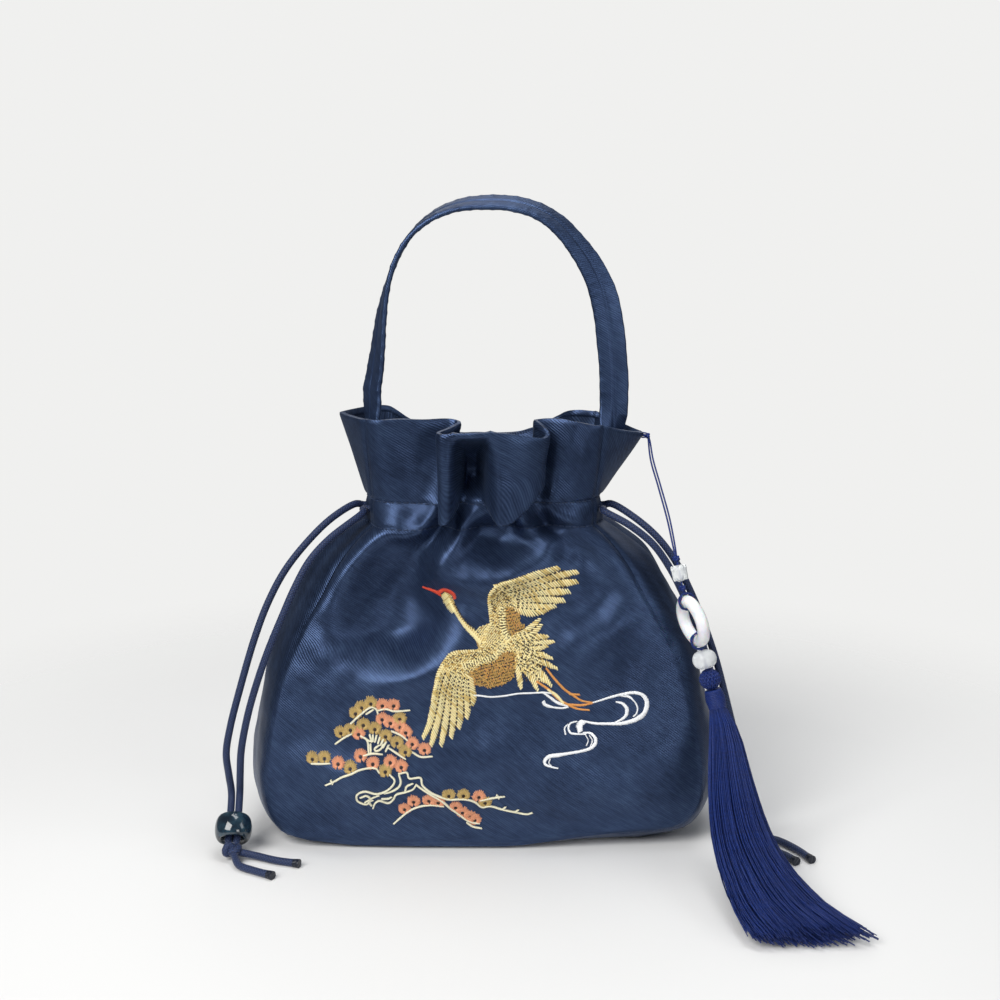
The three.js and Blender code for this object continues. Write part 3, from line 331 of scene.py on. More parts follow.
# The bag's cloth surfaces, in millimetres, by place across and row up: 0 at the base, 1 and 2
# at the casing's stitch lines, 3 at the collar's rim
bagForm = {"casingLow": 154, "casingHigh": 166, "rim": 205, "cloth": 1.2, "liningCloth": 0.8, "baseSeamHalf": 66,
           "baseCrestHalf": 88, "baseDepth": 45, "baseBow": 1.5, "cornerLift": 6, "cornerFade": 22, "floorGap": 1.6,
           "seam": {-1: 56, 1: 57}, "tip": {-1: 70, 1: 78}, "rimDepth": 27, "tipDrop": 10, "bow": 2.6, "belly": 2.4}
crestLine = [(0, 88), (0.03, 103), (0.08, 110.5), (0.16, 114.5), (0.31, 113.9), (0.5, 108.5), (0.63, 103),
             (0.75, 94.5), (0.83, 87), (0.9, 77.3), (0.955, 65.8), (1, 56)]
seamLine = [(0, 66), (0.02, 89.2), (0.06, 98.7), (0.13, 104), (0.26, 105), (0.54, 96.6), (0.69, 86.1),
            (0.78, 77.9), (0.88, 69.6), (0.95, 61.5), (1, 53.5)]
depthLine = [(0, 45), (0.25, 41.9), (0.6, 35.1), (0.85, 28.75), (1, 20)]
bowLine = [(0, 1.5), (0.25, 7), (0.5, 9.45), (0.8, 9.4), (1, 11)]

# Creases: places (across, up, how far proud; less than 0 is a valley), and how wide the
# crease's two flanks are
frontCreases = [
    ([(-34, 166, 3), (-45, 161, 8), (-57, 152, 11.5), (-69, 139, 11), (-78, 123, 6),
     (-83, 108, 0.8)], (10, 15)),
    ([(-84, 102, 0.1), (-74, 91, 0.8), (-62, 84, 1.8), (-48, 82, 2.4), (-34, 85, 2.2), (-20, 94, 1.2),
     (-8, 103, 0.2)], (13, 22)),
    ([(-20.5, 168, 6), (-22.5, 161, 7), (-28.5, 154.5, 6.4), (-38, 151.5, 4.4), (-49, 154, 0.8)], (4.8, 4.6)),
    ([(-13.5, 163, -8), (-18, 154, -10), (-25.5, 144, -7), (-36, 131, -2), (-50, 118, -0.2)], (6.5, 6)),
    ([(1, 168, 5), (-5, 160, 7), (-12, 152, 7.2), (-19, 145, 6.6), (-22.5, 139, 5.6), (-22, 132, 3),
     (-28, 121, 0.4)], (7, 5.6)),
    ([(-20.5, 138, 4.6), (-12, 133, 5.4), (0.5, 131, 5.2), (13, 133, 5), (24, 137.5, 3.6),
     (33, 145, 0.8)], (11, 7.5)),
    ([(-1, 151, -9), (8, 148, -10.5), (20, 148.5, -7)], (9, 8)),
    ([(9, 166, -4.5), (12, 158, -4.5)], (4, 4)),
    ([(17.5, 170, 5), (17, 161, 6.4), (21, 153.5, 6), (30, 147.5, 4.6), (40, 141, 0.8)], (4.2, 4.6)),
    ([(26, 165, -5.5), (30, 156, -5.5), (37, 149, -1)], (4.2, 4.6)),
    ([(33, 166, 3.6), (45, 160, 6.6), (57, 150, 6.8), (68, 136, 4.6), (78, 120, 0.8)], (11, 8)),
    ([(35, 146, -4), (47, 136, -7), (56, 123, -5.6), (63, 106, -1)], (11, 13)),
    ([(52, 158, -3), (66, 145.5, -4.6), (81, 124, -4.6), (91, 108, -3.4), (98, 92, -0.6)], (3.6, 3)),
    ([(26, 92, 0.8), (45, 101.5, 4.6), (59, 109, 4.6), (72, 117, 0.6)], (9, 14)),
    ([(58, 102, -1), (74, 84, -3.6), (84, 58, -0.6)], (13, 12)),
    ([(-22, 120, -1.6), (0, 116, -3.4), (20, 119, -1)], (9, 12)),
    ([(-96, 44, 0.4), (-68, 39, 2.4), (-25, 33, 0.2)], (7, 9)),
    ([(-72, 64, -0.4), (-30, 70, -2.6), (20, 66, -2.6), (60, 56, -0.4)], (12, 13)),
    ([(-30, 52, 0.2), (20, 49, 1.6), (70, 56, 0.2)], (8, 10)),
    ([(-98, 38, 1.2), (-45, 32, 3.2), (30, 31, 3.2), (92, 36, 1.2)], (24, 14)),
]
backCreases = [
    ([(-30, 168, 4.6), (-36, 152, 4.4), (-50, 130, 2.6), (-62, 104, 0.3)], (6, 7)),
    ([(-20, 166, -5), (-24, 148, -4.6), (-32, 126, -0.8)], (6, 6)),
    ([(-6, 168, 4.6), (-8, 150, 4.6), (-12, 126, 2.6), (-16, 104, 0.3)], (5, 6)),
    ([(5, 166, -5), (8, 148, -4.4), (10, 124, -0.6)], (6, 5)),
    ([(16, 168, 4.6), (22, 150, 4.4), (32, 128, 2.4), (42, 102, 0.3)], (6, 6)),
    ([(28, 165, -4.4), (36, 148, -3.8), (50, 128, -0.5)], (6, 5)),
    ([(40, 167, 3.6), (52, 154, 3.2), (70, 132, 0.4)], (8, 7)),
    ([(-60, 66, 0.3), (-10, 52, -1.8), (50, 62, -0.3)], (14, 12)),
]
gussetCreases = [
    ([(-6, 166, 3), (-8, 148, 2.8), (-14, 122, 0.3)], (4.5, 4.5)),
    ([(6, 166, 3.2), (9, 146, 3), (16, 118, 0.3)], (4.5, 4.5)),
    ([(0, 164, -3.4), (0, 144, -3), (2, 118, -0.4)], (4, 4)),
    ([(-22, 90, 0.3), (0, 78, -1.8), (24, 88, -0.2)], (10, 10)),
]

# The hollow under the left shoulder: it deepens to the right and ends in a rounded lip
hollow = {"deep": 19, "left": -82, "right": -38, "back": 32, "lip": 82, "lipCurve": 0.010, "lipMiddle": -46,
          "lipRise": 22, "crest": 157, "crestCurve": 0.019, "roof": 40}


def hollowed(x, z):
    right = x - hollow["right"]
    lip = hollow["lip"] + hollow["lipCurve"] * np.square(x - hollow["lipMiddle"])
    crest = hollow["crest"] - hollow["crestCurve"] * np.square(np.minimum(right, 0))
    across = ease((x - hollow["left"]) / (hollow["right"] - hollow["left"])) * (1 - ease(right / hollow["back"]))
    return hollow["deep"] * across * ease((z - lip) / hollow["lipRise"]) * ease((crest - z) / hollow["roof"])


def creased(creases, x, z):
    total = np.zeros_like(x)
    for line, flanks in creases:
        line = np.array(line, float)
        best, value = np.full_like(x, 1e9), np.zeros_like(x)
        for a, b in zip(line, line[1:]):
            d = (b - a)[:2]
            t = np.clip(((x - a[0]) * d[0] + (z - a[1]) * d[1]) / (d @ d), 0, 1)
            dx, dz = x - a[0] - t * d[0], z - a[1] - t * d[1]
            away = np.hypot(dx, dz)
            wide = np.where(dx * d[1] - dz * d[0] < 0, *flanks)
            value = np.where(away < best, mix(a[2], b[2], ease(t)) * hump(away / wide), value)
            best = np.minimum(best, away)
        total += value
    return total


unevenness = ((46, 0.5), (29, 0.34), (17, 0.2), (10, 0.09))  # length and rise of its waves


def ripples(x, z, seed, size):  # slight unevenness of hand-sewn cloth
    waves = np.random.default_rng(seed)
    total = np.zeros_like(x)
    for length, rise in unevenness:
        for _ in range(3):
            angle, phase = waves.uniform(0, math.pi), waves.uniform(0, fullTurn)
            total += rise * np.sin((x * math.cos(angle) + z * math.sin(angle)) * fullTurn / length + phase)
    return total * size


def rowHeight(v):
    low, high, rim = bagForm["casingLow"], bagForm["casingHigh"], bagForm["rim"]
    return np.where(v <= 1, v * low, np.where(v <= 2, low + (v - 1) * (high - low), high + (v - 2) * (rim - high)))


def seamLift(s):
    return bagForm["floorGap"] + bagForm["cornerLift"] * ease((s - 0.1) / 0.9)


def liftFade(z):
    return np.exp(-z / bagForm["cornerFade"])


def curl(q):
    return np.square(np.maximum(0, (np.abs(q) - 0.6) / 0.4))


def flare(v):
    return np.clip(v - 2, 0, 1) ** 0.85


# The rim from above: the place across the panel, x, depth, rise, and how soon the collar
# reaches that line above the casing (early in the two lobes of the front pleat, late between)
frontRim = [(-1, -56, -27, 0, 0, 0), (-0.86, -49, -30.5, 0.3, 0, 0), (-0.7, -38, -30, 0.6, 0, 0),
            (-0.56, -26, -27, 0.3, 0, 0), (-0.46, -15.5, -25, 0.4, 0.05, 0), (-0.41, -12.2, -27.5, -0.6, 0.25, 0),
            (-0.36, -16.5, -34, -2.4, 0.6, 0), (-0.31, -21.2, -41.5, -3.4, 1, 0), (-0.26, -19.8, -46.8, -3.6, 1, 0),
            (-0.215, -15.8, -48.6, -3.4, 0.75, 0), (-0.185, -12.8, -49.2, -3.2, -0.3, 0),
            (-0.15, -9.5, -49.5, -3, -1, 0), (-0.06, -2, -49.8, -2.8, -1, 0), (-0.01, 2.2, -49.7, -2.8, -0.6, 0),
            (0.025, 5.2, -49.6, -2.8, 0.5, 0), (0.06, 8.6, -49.4, -2.9, 1, 0), (0.12, 15, -48.5, -3.6, 1, 0.04),
            (0.2, 23, -46, -5.2, 1, 0.2), (0.27, 29, -41.5, -6.4, 1, 0.36), (0.325, 31.2, -36, -4.6, 0.9, 0.42),
            (0.37, 28.6, -30.5, -1.8, 0.55, 0.3), (0.42, 26, -26, 0, 0.2, 0.1), (0.5, 31, -25.6, 0.6, 0, 0),
            (0.62, 39, -28, 0.8, 0, 0), (0.8, 48, -30, 0.4, 0, 0), (1, 57, -27, 0, 0, 0)]
backRim = [(-1, -56, 27, 0, 0, 0), (-0.8, -47, 32, -1.5, 0, 0), (-0.62, -38, 31, -8, 0, 0),
           (-0.4, -26, 39, -15.5, 0, 0), (-0.2, -14, 41, -18.5, 0, 0), (-0.02, -3, 38, -18, 0, 0),
           (0.15, 7, 42.5, -19, 0, 0), (0.35, 20, 38.5, -17, 0, 0), (0.52, 31, 36, -11.5, 0, 0),
           (0.68, 40, 34, -4.5, 0, 0), (0.82, 47, 29, -0.5, 0, 0), (1, 57, 27, 0, 0, 0)]
panelLook = {-1: {"creases": frontCreases, "rim": frontRim, "seed": 3}, 1: {"creases": backCreases, "rim": backRim,
             "seed": 4}, "ripple": 0.55, "floorCalm": 14, "calmAt": -0.09, "calmHalf": 0.17, "edge": 10}
pleat = {"lobeOpens": 0.16, "lobeShare": 0.86, "recessOpens": 0.58, "droop": 11.5, "droopAt": 0.14, "droopWide": 0.12,
         "tuck": 12, "tuckAt": 0.34, "tuckWide": 0.26}


def panelPoint(side, s, v, plain=False, calm=False):  # calm leaves out the hanging lobes
    s, v = np.broadcast_arrays(np.asarray(s, float), np.asarray(v, float))
    look, low, up = panelLook[side], bagForm["casingLow"], rowHeight(v)
    z, clothUp, inside = rowHeight(np.minimum(v, 1)), rowHeight(np.minimum(v, 2)), 1 - np.abs(s) ** panelLook["edge"]
    x = throughStations(seamLine, z / low) * s
    height = up + seamLift(s) * liftFade(up)
    bowed = throughStations(bowLine, z / low) * (1 - np.abs(s) ** bagForm["bow"])
    if not plain:
        folds = creased(look["creases"], x, clothUp) + ripples(x, height, look["seed"], panelLook["ripple"])
        if side < 0:
            folds = folds - hollowed(x, clothUp)
        lobes = ease((panelLook["calmHalf"] - np.abs(s - panelLook["calmAt"])) / 0.07)
        calmUp = mix(1, 0.15, ease((v - 2.02) / 0.4) * lobes)
        nearFloor = ease(up / panelLook["floorCalm"])
        bowed = bowed + folds * nearFloor * inside * np.where(v > 1, mix(1, 0.55, ease(v - 1)), 1) * calmUp
    y = side * (throughStations(depthLine, z / low) + bowed)
    rimX, rimY, rimRise, pull, begin = np.moveaxis(throughStations(look["rim"], s), -1, 0)
    t = np.clip(v - 2, 0, 1)
    early, late = np.clip(pull, 0, 0 if calm else 1), np.clip(-pull, 0, 1)
    w, droop, wave = flare(v), 0, 0
    if not plain:
        begun = np.clip((t - begin) / (1 - begin), 0, 1)
        lobe = mix(ease((begun - 0.1) / 0.9), ease(begun / pleat["lobeOpens"]), pleat["lobeShare"])
        w = mix(mix(w, lobe, early), ease((t - pleat["recessOpens"]) / 0.4), late)
        droop = pleat["droop"] * early * hump((begun - pleat["droopAt"]) / pleat["droopWide"]) * (1 - begin)
        droop = droop * ease(begun / 0.05)
        wave = ripples(x * 1.5, height, 8, 0.5) * ease(t * 4) * inside
    drop = bagForm["tipDrop"] * ease((s - 0.5) / 0.5) * 0.3 * w
    tuck = pleat["tuck"] * late * hump((t - pleat["tuckAt"]) / pleat["tuckWide"]) * ease(t / 0.22)
    return np.stack([mix(x, rimX, w), mix(y, rimY, w) + side * (wave - tuck), height - drop + rimRise * w ** 3 - droop],
                    -1)


def gussetPoint(sign, q, v, plain=False):
    q, v = np.broadcast_arrays(np.asarray(q, float), np.asarray(v, float))
    low, up = bagForm["casingLow"], rowHeight(v)
    z, belly, w = rowHeight(np.minimum(v, 1)), 1 - np.abs(q) ** bagForm["belly"], flare(v)
    flat = np.where(v < 1, mix(1, curl(q), liftFade(z) ** 0.5), 1)
    height = up + seamLift(sign) * liftFade(up) * flat
    x = mix(throughStations(seamLine, z / low), throughStations(crestLine, z / low), belly)
    y = throughStations(depthLine, z / low) * q
    if not plain:
        folds = creased(gussetCreases, y, rowHeight(np.minimum(v, 2))) + ripples(y, height, 5 + sign, 0.5)
        folds = folds * np.where(v > 1, mix(1, 0.3, ease(v - 1)), 1)
        x = x + folds * ease(up / panelLook["floorCalm"]) * (1 - np.abs(q) ** 8)
    tipX = mix(bagForm["seam"][sign], bagForm["tip"][sign], 1 - np.abs(q) ** 1.3)
    drop = bagForm["tipDrop"] * w * mix(1, 0.3, np.abs(q) ** 1.5) if sign > 0 else 0
    return np.stack([sign * mix(x, tipX, w), mix(y, bagForm["rimDepth"] * q, w), height - drop], -1)


def basePoint(s, q):
    s, q = np.broadcast_arrays(np.asarray(s, float), np.asarray(q, float))
    depth = np.sign(q) * (bagForm["baseDepth"] + bagForm["baseBow"] * (1 - np.abs(s) ** bagForm["bow"]))
    half = mix(bagForm["baseSeamHalf"], bagForm["baseCrestHalf"], 1 - np.abs(q) ** bagForm["belly"])
    return np.stack([s * half, np.abs(q) * depth, seamLift(s) * curl(q)], -1)


def gridNormals(points, outward):
    normals = unit(np.cross(np.gradient(points, axis=1), np.gradient(points, axis=0)))
    middle = normals[points.shape[0] // 2, points.shape[1] // 2]
    return normals * (1 if middle @ np.asarray(outward, float) > 0 else -1)


def rowRuns(points):  # how far along its row each point of a sheet lies
    across = np.linalg.norm(np.diff(points, axis=1), axis=2)
    return np.concatenate([np.zeros((points.shape[0], 1)), np.cumsum(across, 1)], 1)


def clothMap(points, column=0.5, gathered=None):  # lengths along the cloth, so that its weave keeps its scale
    u = rowRuns(points)
    u -= u[:, [points.shape[1] // 2]]
    if gathered:
        u[gathered:] = u[gathered]
    v = rowRuns(points.transpose(1, 0, 2)).T
    return np.stack([u, np.broadcast_to(v[:, [int(column * (points.shape[1] - 1))]], u.shape)], -1)


def clothLayer(name, points, normals, outer, inner, material, node, **mapping):
    rows, columns = points.shape[:2]
    outer, inner = (np.asarray(depth, float).reshape(-1, 1, 1) for depth in (outer, inner))
    both = np.concatenate([(points - normals * outer).reshape(-1, 3), (points - normals * inner).reshape(-1, 3)])
    half = rows * columns
    faces = gridFaces(rows, columns) + [tuple(reversed(f)) for f in gridFaces(rows, columns, half)]
    rim = ([(0, j) for j in range(columns)] + [(i, columns - 1) for i in range(1, rows)]
           + [(rows - 1, j) for j in range(columns - 2, -1, -1)] + [(i, 0) for i in range(rows - 2, 0, -1)])
    rim = [i * columns + j for i, j in rim]
    faces += [(a, a + half, b + half, b) for a, b in zip(rim, rim[1:] + rim[:1])]
    a, b, c, _ = np.array(gridFaces(rows, columns)[::97]).T
    if np.mean(np.sum(np.cross(both[b] - both[a], both[c] - both[a]) * normals.reshape(-1, 3)[a], 1)) < 0:
        faces = [tuple(reversed(f)) for f in faces]
    uv = clothMap(points, **mapping).reshape(-1, 2)
    return makeMesh(name, both, faces, np.concatenate([uv, uv]), material, "bag", node, sharp=65)


# Shell: front, back and the gusset, each rolled in at its seams and pulled in at the stitch lines
shell = {"across": 221, "gussetAcross": 57, "body": 92, "casing": 9, "collar": 46, "stitchDip": 0.55,
         "stitchWide": 1.2, "lip": 2.5, "lipRows": 4, "rimRound": (0.45, 0.4), "seamDip": 0.9, "seamWide": 1.7,
         "seamGap": 0.25, "baseRows": 60}
collarRow = shell["body"] + shell["casing"]
shellRows = np.concatenate([np.linspace(0, 1, shell["body"], endpoint=False) ** 0.92,
                            np.linspace(1, 2, shell["casing"], endpoint=False),
                            2 + np.linspace(0, 1, shell["collar"]) ** 1.25])
across = np.linspace(-1, 1, shell["across"])[None, :]
gussetAcross = np.linspace(-1, 1, shell["gussetAcross"])[None, :]


def shellSheet(points, outward):
    normals, run, z = gridNormals(points, outward), rowRuns(points), rowHeight(shellRows)
    rolled = shell["seamDip"] * hump(np.minimum(run, run[:, [-1]] - run) / shell["seamWide"])
    dip = sum(hump((z - bagForm[line]) / shell["stitchWide"]) for line in ("casingLow", "casingHigh"))
    return [points - normals * (rolled + shell["stitchDip"] * dip[:, None])[..., None], normals]


def mitred(first, second):  # shared direction of two sheets at their seam
    return (first + second) / (1 + np.sum(first * second, -1, keepdims=True)).clip(0.5)


def drawIn(points, gap):  # leaves a gap at each seam
    points[:, 0] += unit(points[:, 1] - points[:, 0]) * gap
    points[:, -1] += unit(points[:, -2] - points[:, -1]) * gap


panels = {side: shellSheet(panelPoint(side, across, shellRows[:, None]), (0, side, 0)) for side in (-1, 1)}
gussets = {sign: shellSheet(gussetPoint(sign, gussetAcross, shellRows[:, None]), (sign, 0, 0)) for sign in (-1, 1)}
sheets = [*panels.values(), *gussets.values()]
for side, q in ((-1, 0), (1, -1)):
    for sign, s in ((-1, 0), (1, -1)):
        shared = mitred(panels[side][1][:, s], gussets[sign][1][:, q])
        panels[side][1][:, s] = gussets[sign][1][:, q] = shared
for points, _ in sheets:
    drawIn(points, shell["seamGap"])
innerDepth = np.full(len(shellRows), bagForm["cloth"])
innerDepth[-shell["lipRows"]:] = shell["lip"]
innerDepth[-1] -= shell["rimRound"][1]
outerDepth = np.zeros(len(shellRows))
outerDepth[-1] = shell["rimRound"][0]
for side, name, node in ((-1, "frontPanel", "front_panel"), (1, "backPanel", "back_panel")):
    clothLayer(name, *panels[side], outerDepth, innerDepth, satin, node, column=0.9, gathered=collarRow)
baseSteps = np.linspace(-1, 1, shell["baseRows"])[1:-1]
under = basePoint(baseSteps[:, None], gussetAcross)
left, right = gussets.values()
clothLayer("gussetStrip", np.concatenate([left[0][::-1], under, right[0]]),
           np.concatenate([left[1][::-1], -gridNormals(under, (0, 0, 1)), right[1]]),
           np.concatenate([outerDepth[::-1], np.zeros(len(baseSteps)), outerDepth]),
           np.concatenate([innerDepth[::-1], np.full(len(baseSteps), bagForm["cloth"]), innerDepth]), satin, "gusset")

# Stitches along the casing's two lines
casingSeam = {"length": 2.7, "gap": 0.8, "thick": 0.27, "along": (0, 0.12, 0.5, 0.88, 1),
              "lift": (-0.4, 0.2, 0.28, 0.2, -0.4)}
stitchParts = []
for points, normals in sheets:
    for row in (shell["body"], collarRow):
        run, length = lengths(points[row]), casingSeam["length"]
        for start in np.arange(casingSeam["gap"], run[-1] - length, length + casingSeam["gap"]):
            at = start + length * np.array(casingSeam["along"])
            line, out = walked(points[row], run, at), walked(normals[row], run, at)
            lifted = line + unit(out) * np.array(casingSeam["lift"])[:, None]
            stitchParts.append(tubeParts(lifted, casingSeam["thick"], 5))
makeMesh("casingStitches", *joined(stitchParts), stitchThread, "bag")
print("shell done,", len(stitchParts), "casing stitches")

# Facing inside the collar and the casing, one layer behind the shell
facing = {"gap": 0.3, "channel": 6.3, "rows": 40, "casingRows": 12, "from": 0.95, "top": 0.972, "fold": 9.6,
          "narrow": 0.985, "calmTo": (2.3, 0.3)}
facingRows = np.concatenate([np.linspace(facing["from"], 2, facing["casingRows"], endpoint=False),
                             2 + np.linspace(0, facing["top"], facing["rows"])])[:, None]
facingDepth = mix(facing["channel"], bagForm["cloth"] + facing["gap"],
                  ease((rowHeight(facingRows) - bagForm["casingHigh"] - 0.5) / facing["fold"]))


def facingLayer(name, node, points, outward):
    # The facing wears the darkened satin copy: painted shade.
    clothLayer(name, points, gridNormals(points, outward), facingDepth, facingDepth + bagForm["liningCloth"],
               satinFacingPaintedShade, node)


for side, name, node in ((-1, "frontFacing", "front_facing"), (1, "backFacing", "back_facing")):
    calm, full = (panelPoint(side, across, facingRows, calm=way) for way in (True, False))
    facingLayer(name, node, mix(calm, full, ease((facingRows - facing["calmTo"][0]) / facing["calmTo"][1])[..., None]),
                (0, side, 0))
for sign, name, node in ((-1, "leftFacing", "left_facing"), (1, "rightFacing", "right_facing")):
    facingLayer(name, node, gussetPoint(sign, gussetAcross * facing["narrow"], facingRows), (sign, 0, 0))

# Lining, hanging loosely inside
liningForm = {"gap": 0.4, "drop": 6.5, "rise": 20, "slackRise": 30, "rows": 60, "top": 0.92, "across": 61,
              "gussetAcross": 31, "baseRows": 30, "follow": 0.8, "seamGap": 0.6}
liningRows = np.linspace(0, liningForm["top"], liningForm["rows"])[:, None]
liningAcross = np.linspace(-1, 1, liningForm["across"])[None, :]
sides = np.linspace(-1, 1, liningForm["gussetAcross"])[None, :]


def liningLayer(name, node, points, outward):
    normals = gridNormals(points, outward)
    drawIn(points, liningForm["seamGap"])
    z = points[..., 2]
    depth = mix(bagForm["cloth"] + liningForm["gap"], liningForm["drop"], ease(z[:, 0] / liningForm["rise"]))
    slack = np.abs(ripples(points[..., 0] + points[..., 1], z, 11, 1.0)) * ease(z / liningForm["slackRise"])
    clothLayer(name, points - normals * slack[..., None], normals, depth, depth + bagForm["liningCloth"],
               liningWeave, node)


for side, name, node in ((-1, "frontLining", "front_lining"), (1, "backLining", "back_lining")):
    flat, folded = (panelPoint(side, liningAcross, liningRows, plain=way) for way in (True, False))
    liningLayer(name, node, mix(flat, folded, liningForm["follow"]), (0, side, 0))
left, right = (gussetPoint(sign, sides, liningRows, plain=True) for sign in (-1, 1))
linedBase = basePoint(np.linspace(-1, 1, liningForm["baseRows"])[1:-1, None], sides)
liningLayer("gussetLining", "gusset_lining", np.concatenate([left[::-1], linedBase, right]), (0, 0, -1))
print("lining done")


# Where the front's surface lies for a place (across, up), and which way it faces
def frontAt(x, z, step=0.004):
    x, z = np.asarray(x, float), np.asarray(z, float)
    v = z / bagForm["casingLow"]
    for _ in range(6):
        s = x / throughStations(seamLine, np.minimum(v, 1))
        v = np.clip(v - (panelPoint(-1, s, v)[..., 2] - z) / bagForm["casingLow"], 0, 0.995)
    along = panelPoint(-1, s + step, v) - panelPoint(-1, s - step, v)
    up = panelPoint(-1, s, v + step) - panelPoint(-1, s, v - step)
    normal = unit(np.cross(along, up))
    return panelPoint(-1, s, v), normal * -np.sign(normal[..., 1:2])


# The crane, pine and cloud were drawn: threads run through (across, up), in millimetres
craneLines = {
    "upperFeathers": [[(6.5, 129), (15.4, 131), (26, 133.6), (35.5, 135.5)], [(9.9, 126.8), (21.3, 129.1),
     (33.8, 131.8), (44.6, 132.8)], [(12.2, 124.7), (22.4, 126.8), (33.8, 128.4), (44.3, 128.7)],
     [(13.9, 122.7), (23.5, 124.6), (32.1, 125.1), (40.5, 124.8)], [(15, 120.8), (23.5, 121.9), (30.9, 121.6),
     (38, 121.1)], [(15, 119.2), (21.3, 118.9), (28.1, 118.2), (33.6, 118.9)], [(15, 117.7), (19, 116.6),
     (23.5, 116.1), (29.8, 117.3)]],
    "lowerFeathers": [[(-18.4, 91), (-21.1, 83), (-22.7, 73.8), (-24.9, 64.4), (-28.2, 57.5)], [(-15.7, 89.3),
     (-18.4, 80.7), (-19.8, 72.1), (-21.9, 63.3), (-24.5, 54.3)], [(-13.3, 88.8), (-15.6, 80.8), (-16.7, 71.5),
     (-17.9, 63.3), (-19.8, 54.2)], [(-11.1, 88.2), (-13.3, 80.2), (-13.7, 71.5), (-14.1, 64.5), (-15.1, 57.7)],
     [(-9.3, 87.6), (-10.6, 80.8), (-10.6, 73.9), (-10.8, 67.4), (-11.5, 61.8)], [(-7.6, 87.1), (-8.1, 80.8),
     (-7.6, 75), (-7.4, 70.3), (-7.8, 66.2)], [(-5.9, 85.9), (-5.4, 81.4), (-4.8, 76.8), (-5.2, 72.4)]],
    "tailFeathers": [[(16.2, 105.9), (21.3, 108.3), (26.5, 112.9)], [(16.7, 104.4), (22.4, 105.9),
     (27.2, 110.3)], [(17.9, 103.2), (24.1, 104.7), (30.3, 105.3)], [(17.9, 101.6), (25.3, 102.1), (33.1, 103)],
     [(17.9, 99.9), (23.6, 99.9), (29.9, 100.9)], [(17.9, 98.3), (24.7, 97.6), (32.4, 95.3)], [(16.7, 97.1),
     (23.6, 94.8), (29.8, 92.6), (34.7, 90.4)], [(16.7, 95.4), (22.4, 92.1), (27, 88.4), (32.1, 82)],
     [(16.3, 94), (20.2, 89.3), (23.6, 84.7), (25.7, 80.2)], [(15.6, 92.4), (16.9, 87.3), (18, 81)],
     [(19.3, 91.9), (24.1, 87.3), (29.3, 84.1)]],
    "coverts": [[(4.4, 126.5), (6.5, 129), (12.2, 130.2), (15.6, 128.5), (17.9, 124.2), (16.7, 118.6),
     (11.6, 118), (10.5, 112.4), (8.2, 106.8), (5.9, 103.4), (3.1, 100.1), (-1.4, 97.7), (-8.8, 97.4),
     (-14.5, 96.9), (-18.4, 93), (-19.6, 90.4), (-16.2, 88.7), (-10.5, 87.3), (-6, 88.5), (-1.4, 90.8),
     (5.4, 93.3), (9.9, 97.8), (16.2, 97.8), (21.3, 100.8), (17.9, 104), (13.9, 105.4), (7.6, 106.8),
     (4, 110.5), (3.7, 117.5), (3.6, 123.7)], [(14.5, 106.2), (23.6, 106.2), (27.5, 103.3), (27, 98.3),
     (28.7, 94.3), (27, 89.8), (23.6, 87.5), (17.9, 88.7), (15, 94.4)]],
    "breast": [[(-2.3, 108.4), (3.1, 110.5), (6.5, 109.1), (11.1, 105.7), (15.6, 104), (17.9, 100),
     (12.2, 97.8), (6.5, 97.8), (3.1, 99.5), (0.3, 98.4), (-1.4, 103.4), (-3.7, 106.8)]],
    "filler": [[(-4.4, 106.6), (2.6, 110.6), (6, 112), (9.5, 118.4), (12, 118.2), (12, 112), (14.6, 106.4),
     (18.4, 103), (17.9, 97.4), (9, 97), (-1.4, 96.4)], [(-19.4, 93.5), (-9, 93), (-4.2, 91.6), (-4.2, 83),
     (-7, 85), (-12, 86.5), (-18.6, 87.5)]],
    "edges": [[(-0.9, 98.1), (-8.3, 97.8), (-14.5, 96.9), (-18, 93.3), (-20.7, 88.4), (-22.2, 81.9),
     (-23.8, 75)], [(3.8, 110.7), (3.4, 117.5), (3.2, 123.7), (4.9, 127.5), (7.8, 130), (15.6, 132)],
     [(3.1, 109.9), (1.4, 106.3), (0.3, 101.2), (-2.3, 98.4)]],
    "bars": [[(9.1, 118), (9.1, 113.5), (9.3, 109.1), (10.5, 105.7), (12.2, 103.4)], [(8.8, 98.4), (5.9, 96.1),
     (2, 94.4), (-2, 93.3), (-6, 92.2), (-9.4, 91.3)]],
    "brown": [[(10.8, 117.9), (15.7, 118.6), (17.4, 116.3), (17.4, 111.3), (19.7, 110.6), (17.9, 106.7),
     (14, 105.6), (11.3, 111.3)], [(-5.9, 89.3), (-1.4, 91.3), (5.4, 93.6), (9.9, 98.1), (15, 97.8),
     (15.7, 93.2), (14.6, 85.9), (9.9, 82.5), (3.1, 80.9), (-3.6, 81.8)]],
    "beak": [[(-28.6, 124.4), (-24.7, 123.8), (-20, 122.7)]],
    "crown": [[(-20.3, 123.9), (-18.9, 125.2), (-16.2, 125.2), (-13.8, 123.9), (-13.2, 121.8)]],
    "face": [[(-18.4, 123.4), (-16.1, 119.6), (-13.8, 115.4)]],
    "neck": [[(-15.6, 120.3), (-13.6, 116.9), (-11, 113), (-7.6, 108.9), (-3.7, 105.6), (-0.8, 102.5)]],
    "legs": [[(29.7, 90.3), (33.8, 85.1), (38.4, 79.9), (42.4, 77), (46.4, 74.3), (51.7, 73.2)], [(40.7, 77.6),
     (45.4, 77.2)], [(40.2, 72.6), (46.4, 72.1), (51.1, 72.9)], [(25.3, 84.1), (31, 80.1), (35.6, 75.4),
     (40.2, 72.4), (44.7, 70.4), (50, 69.7)]],
    "shank": [[(30.4, 80.3), (34.4, 77.2), (37.9, 73.3)]],
}
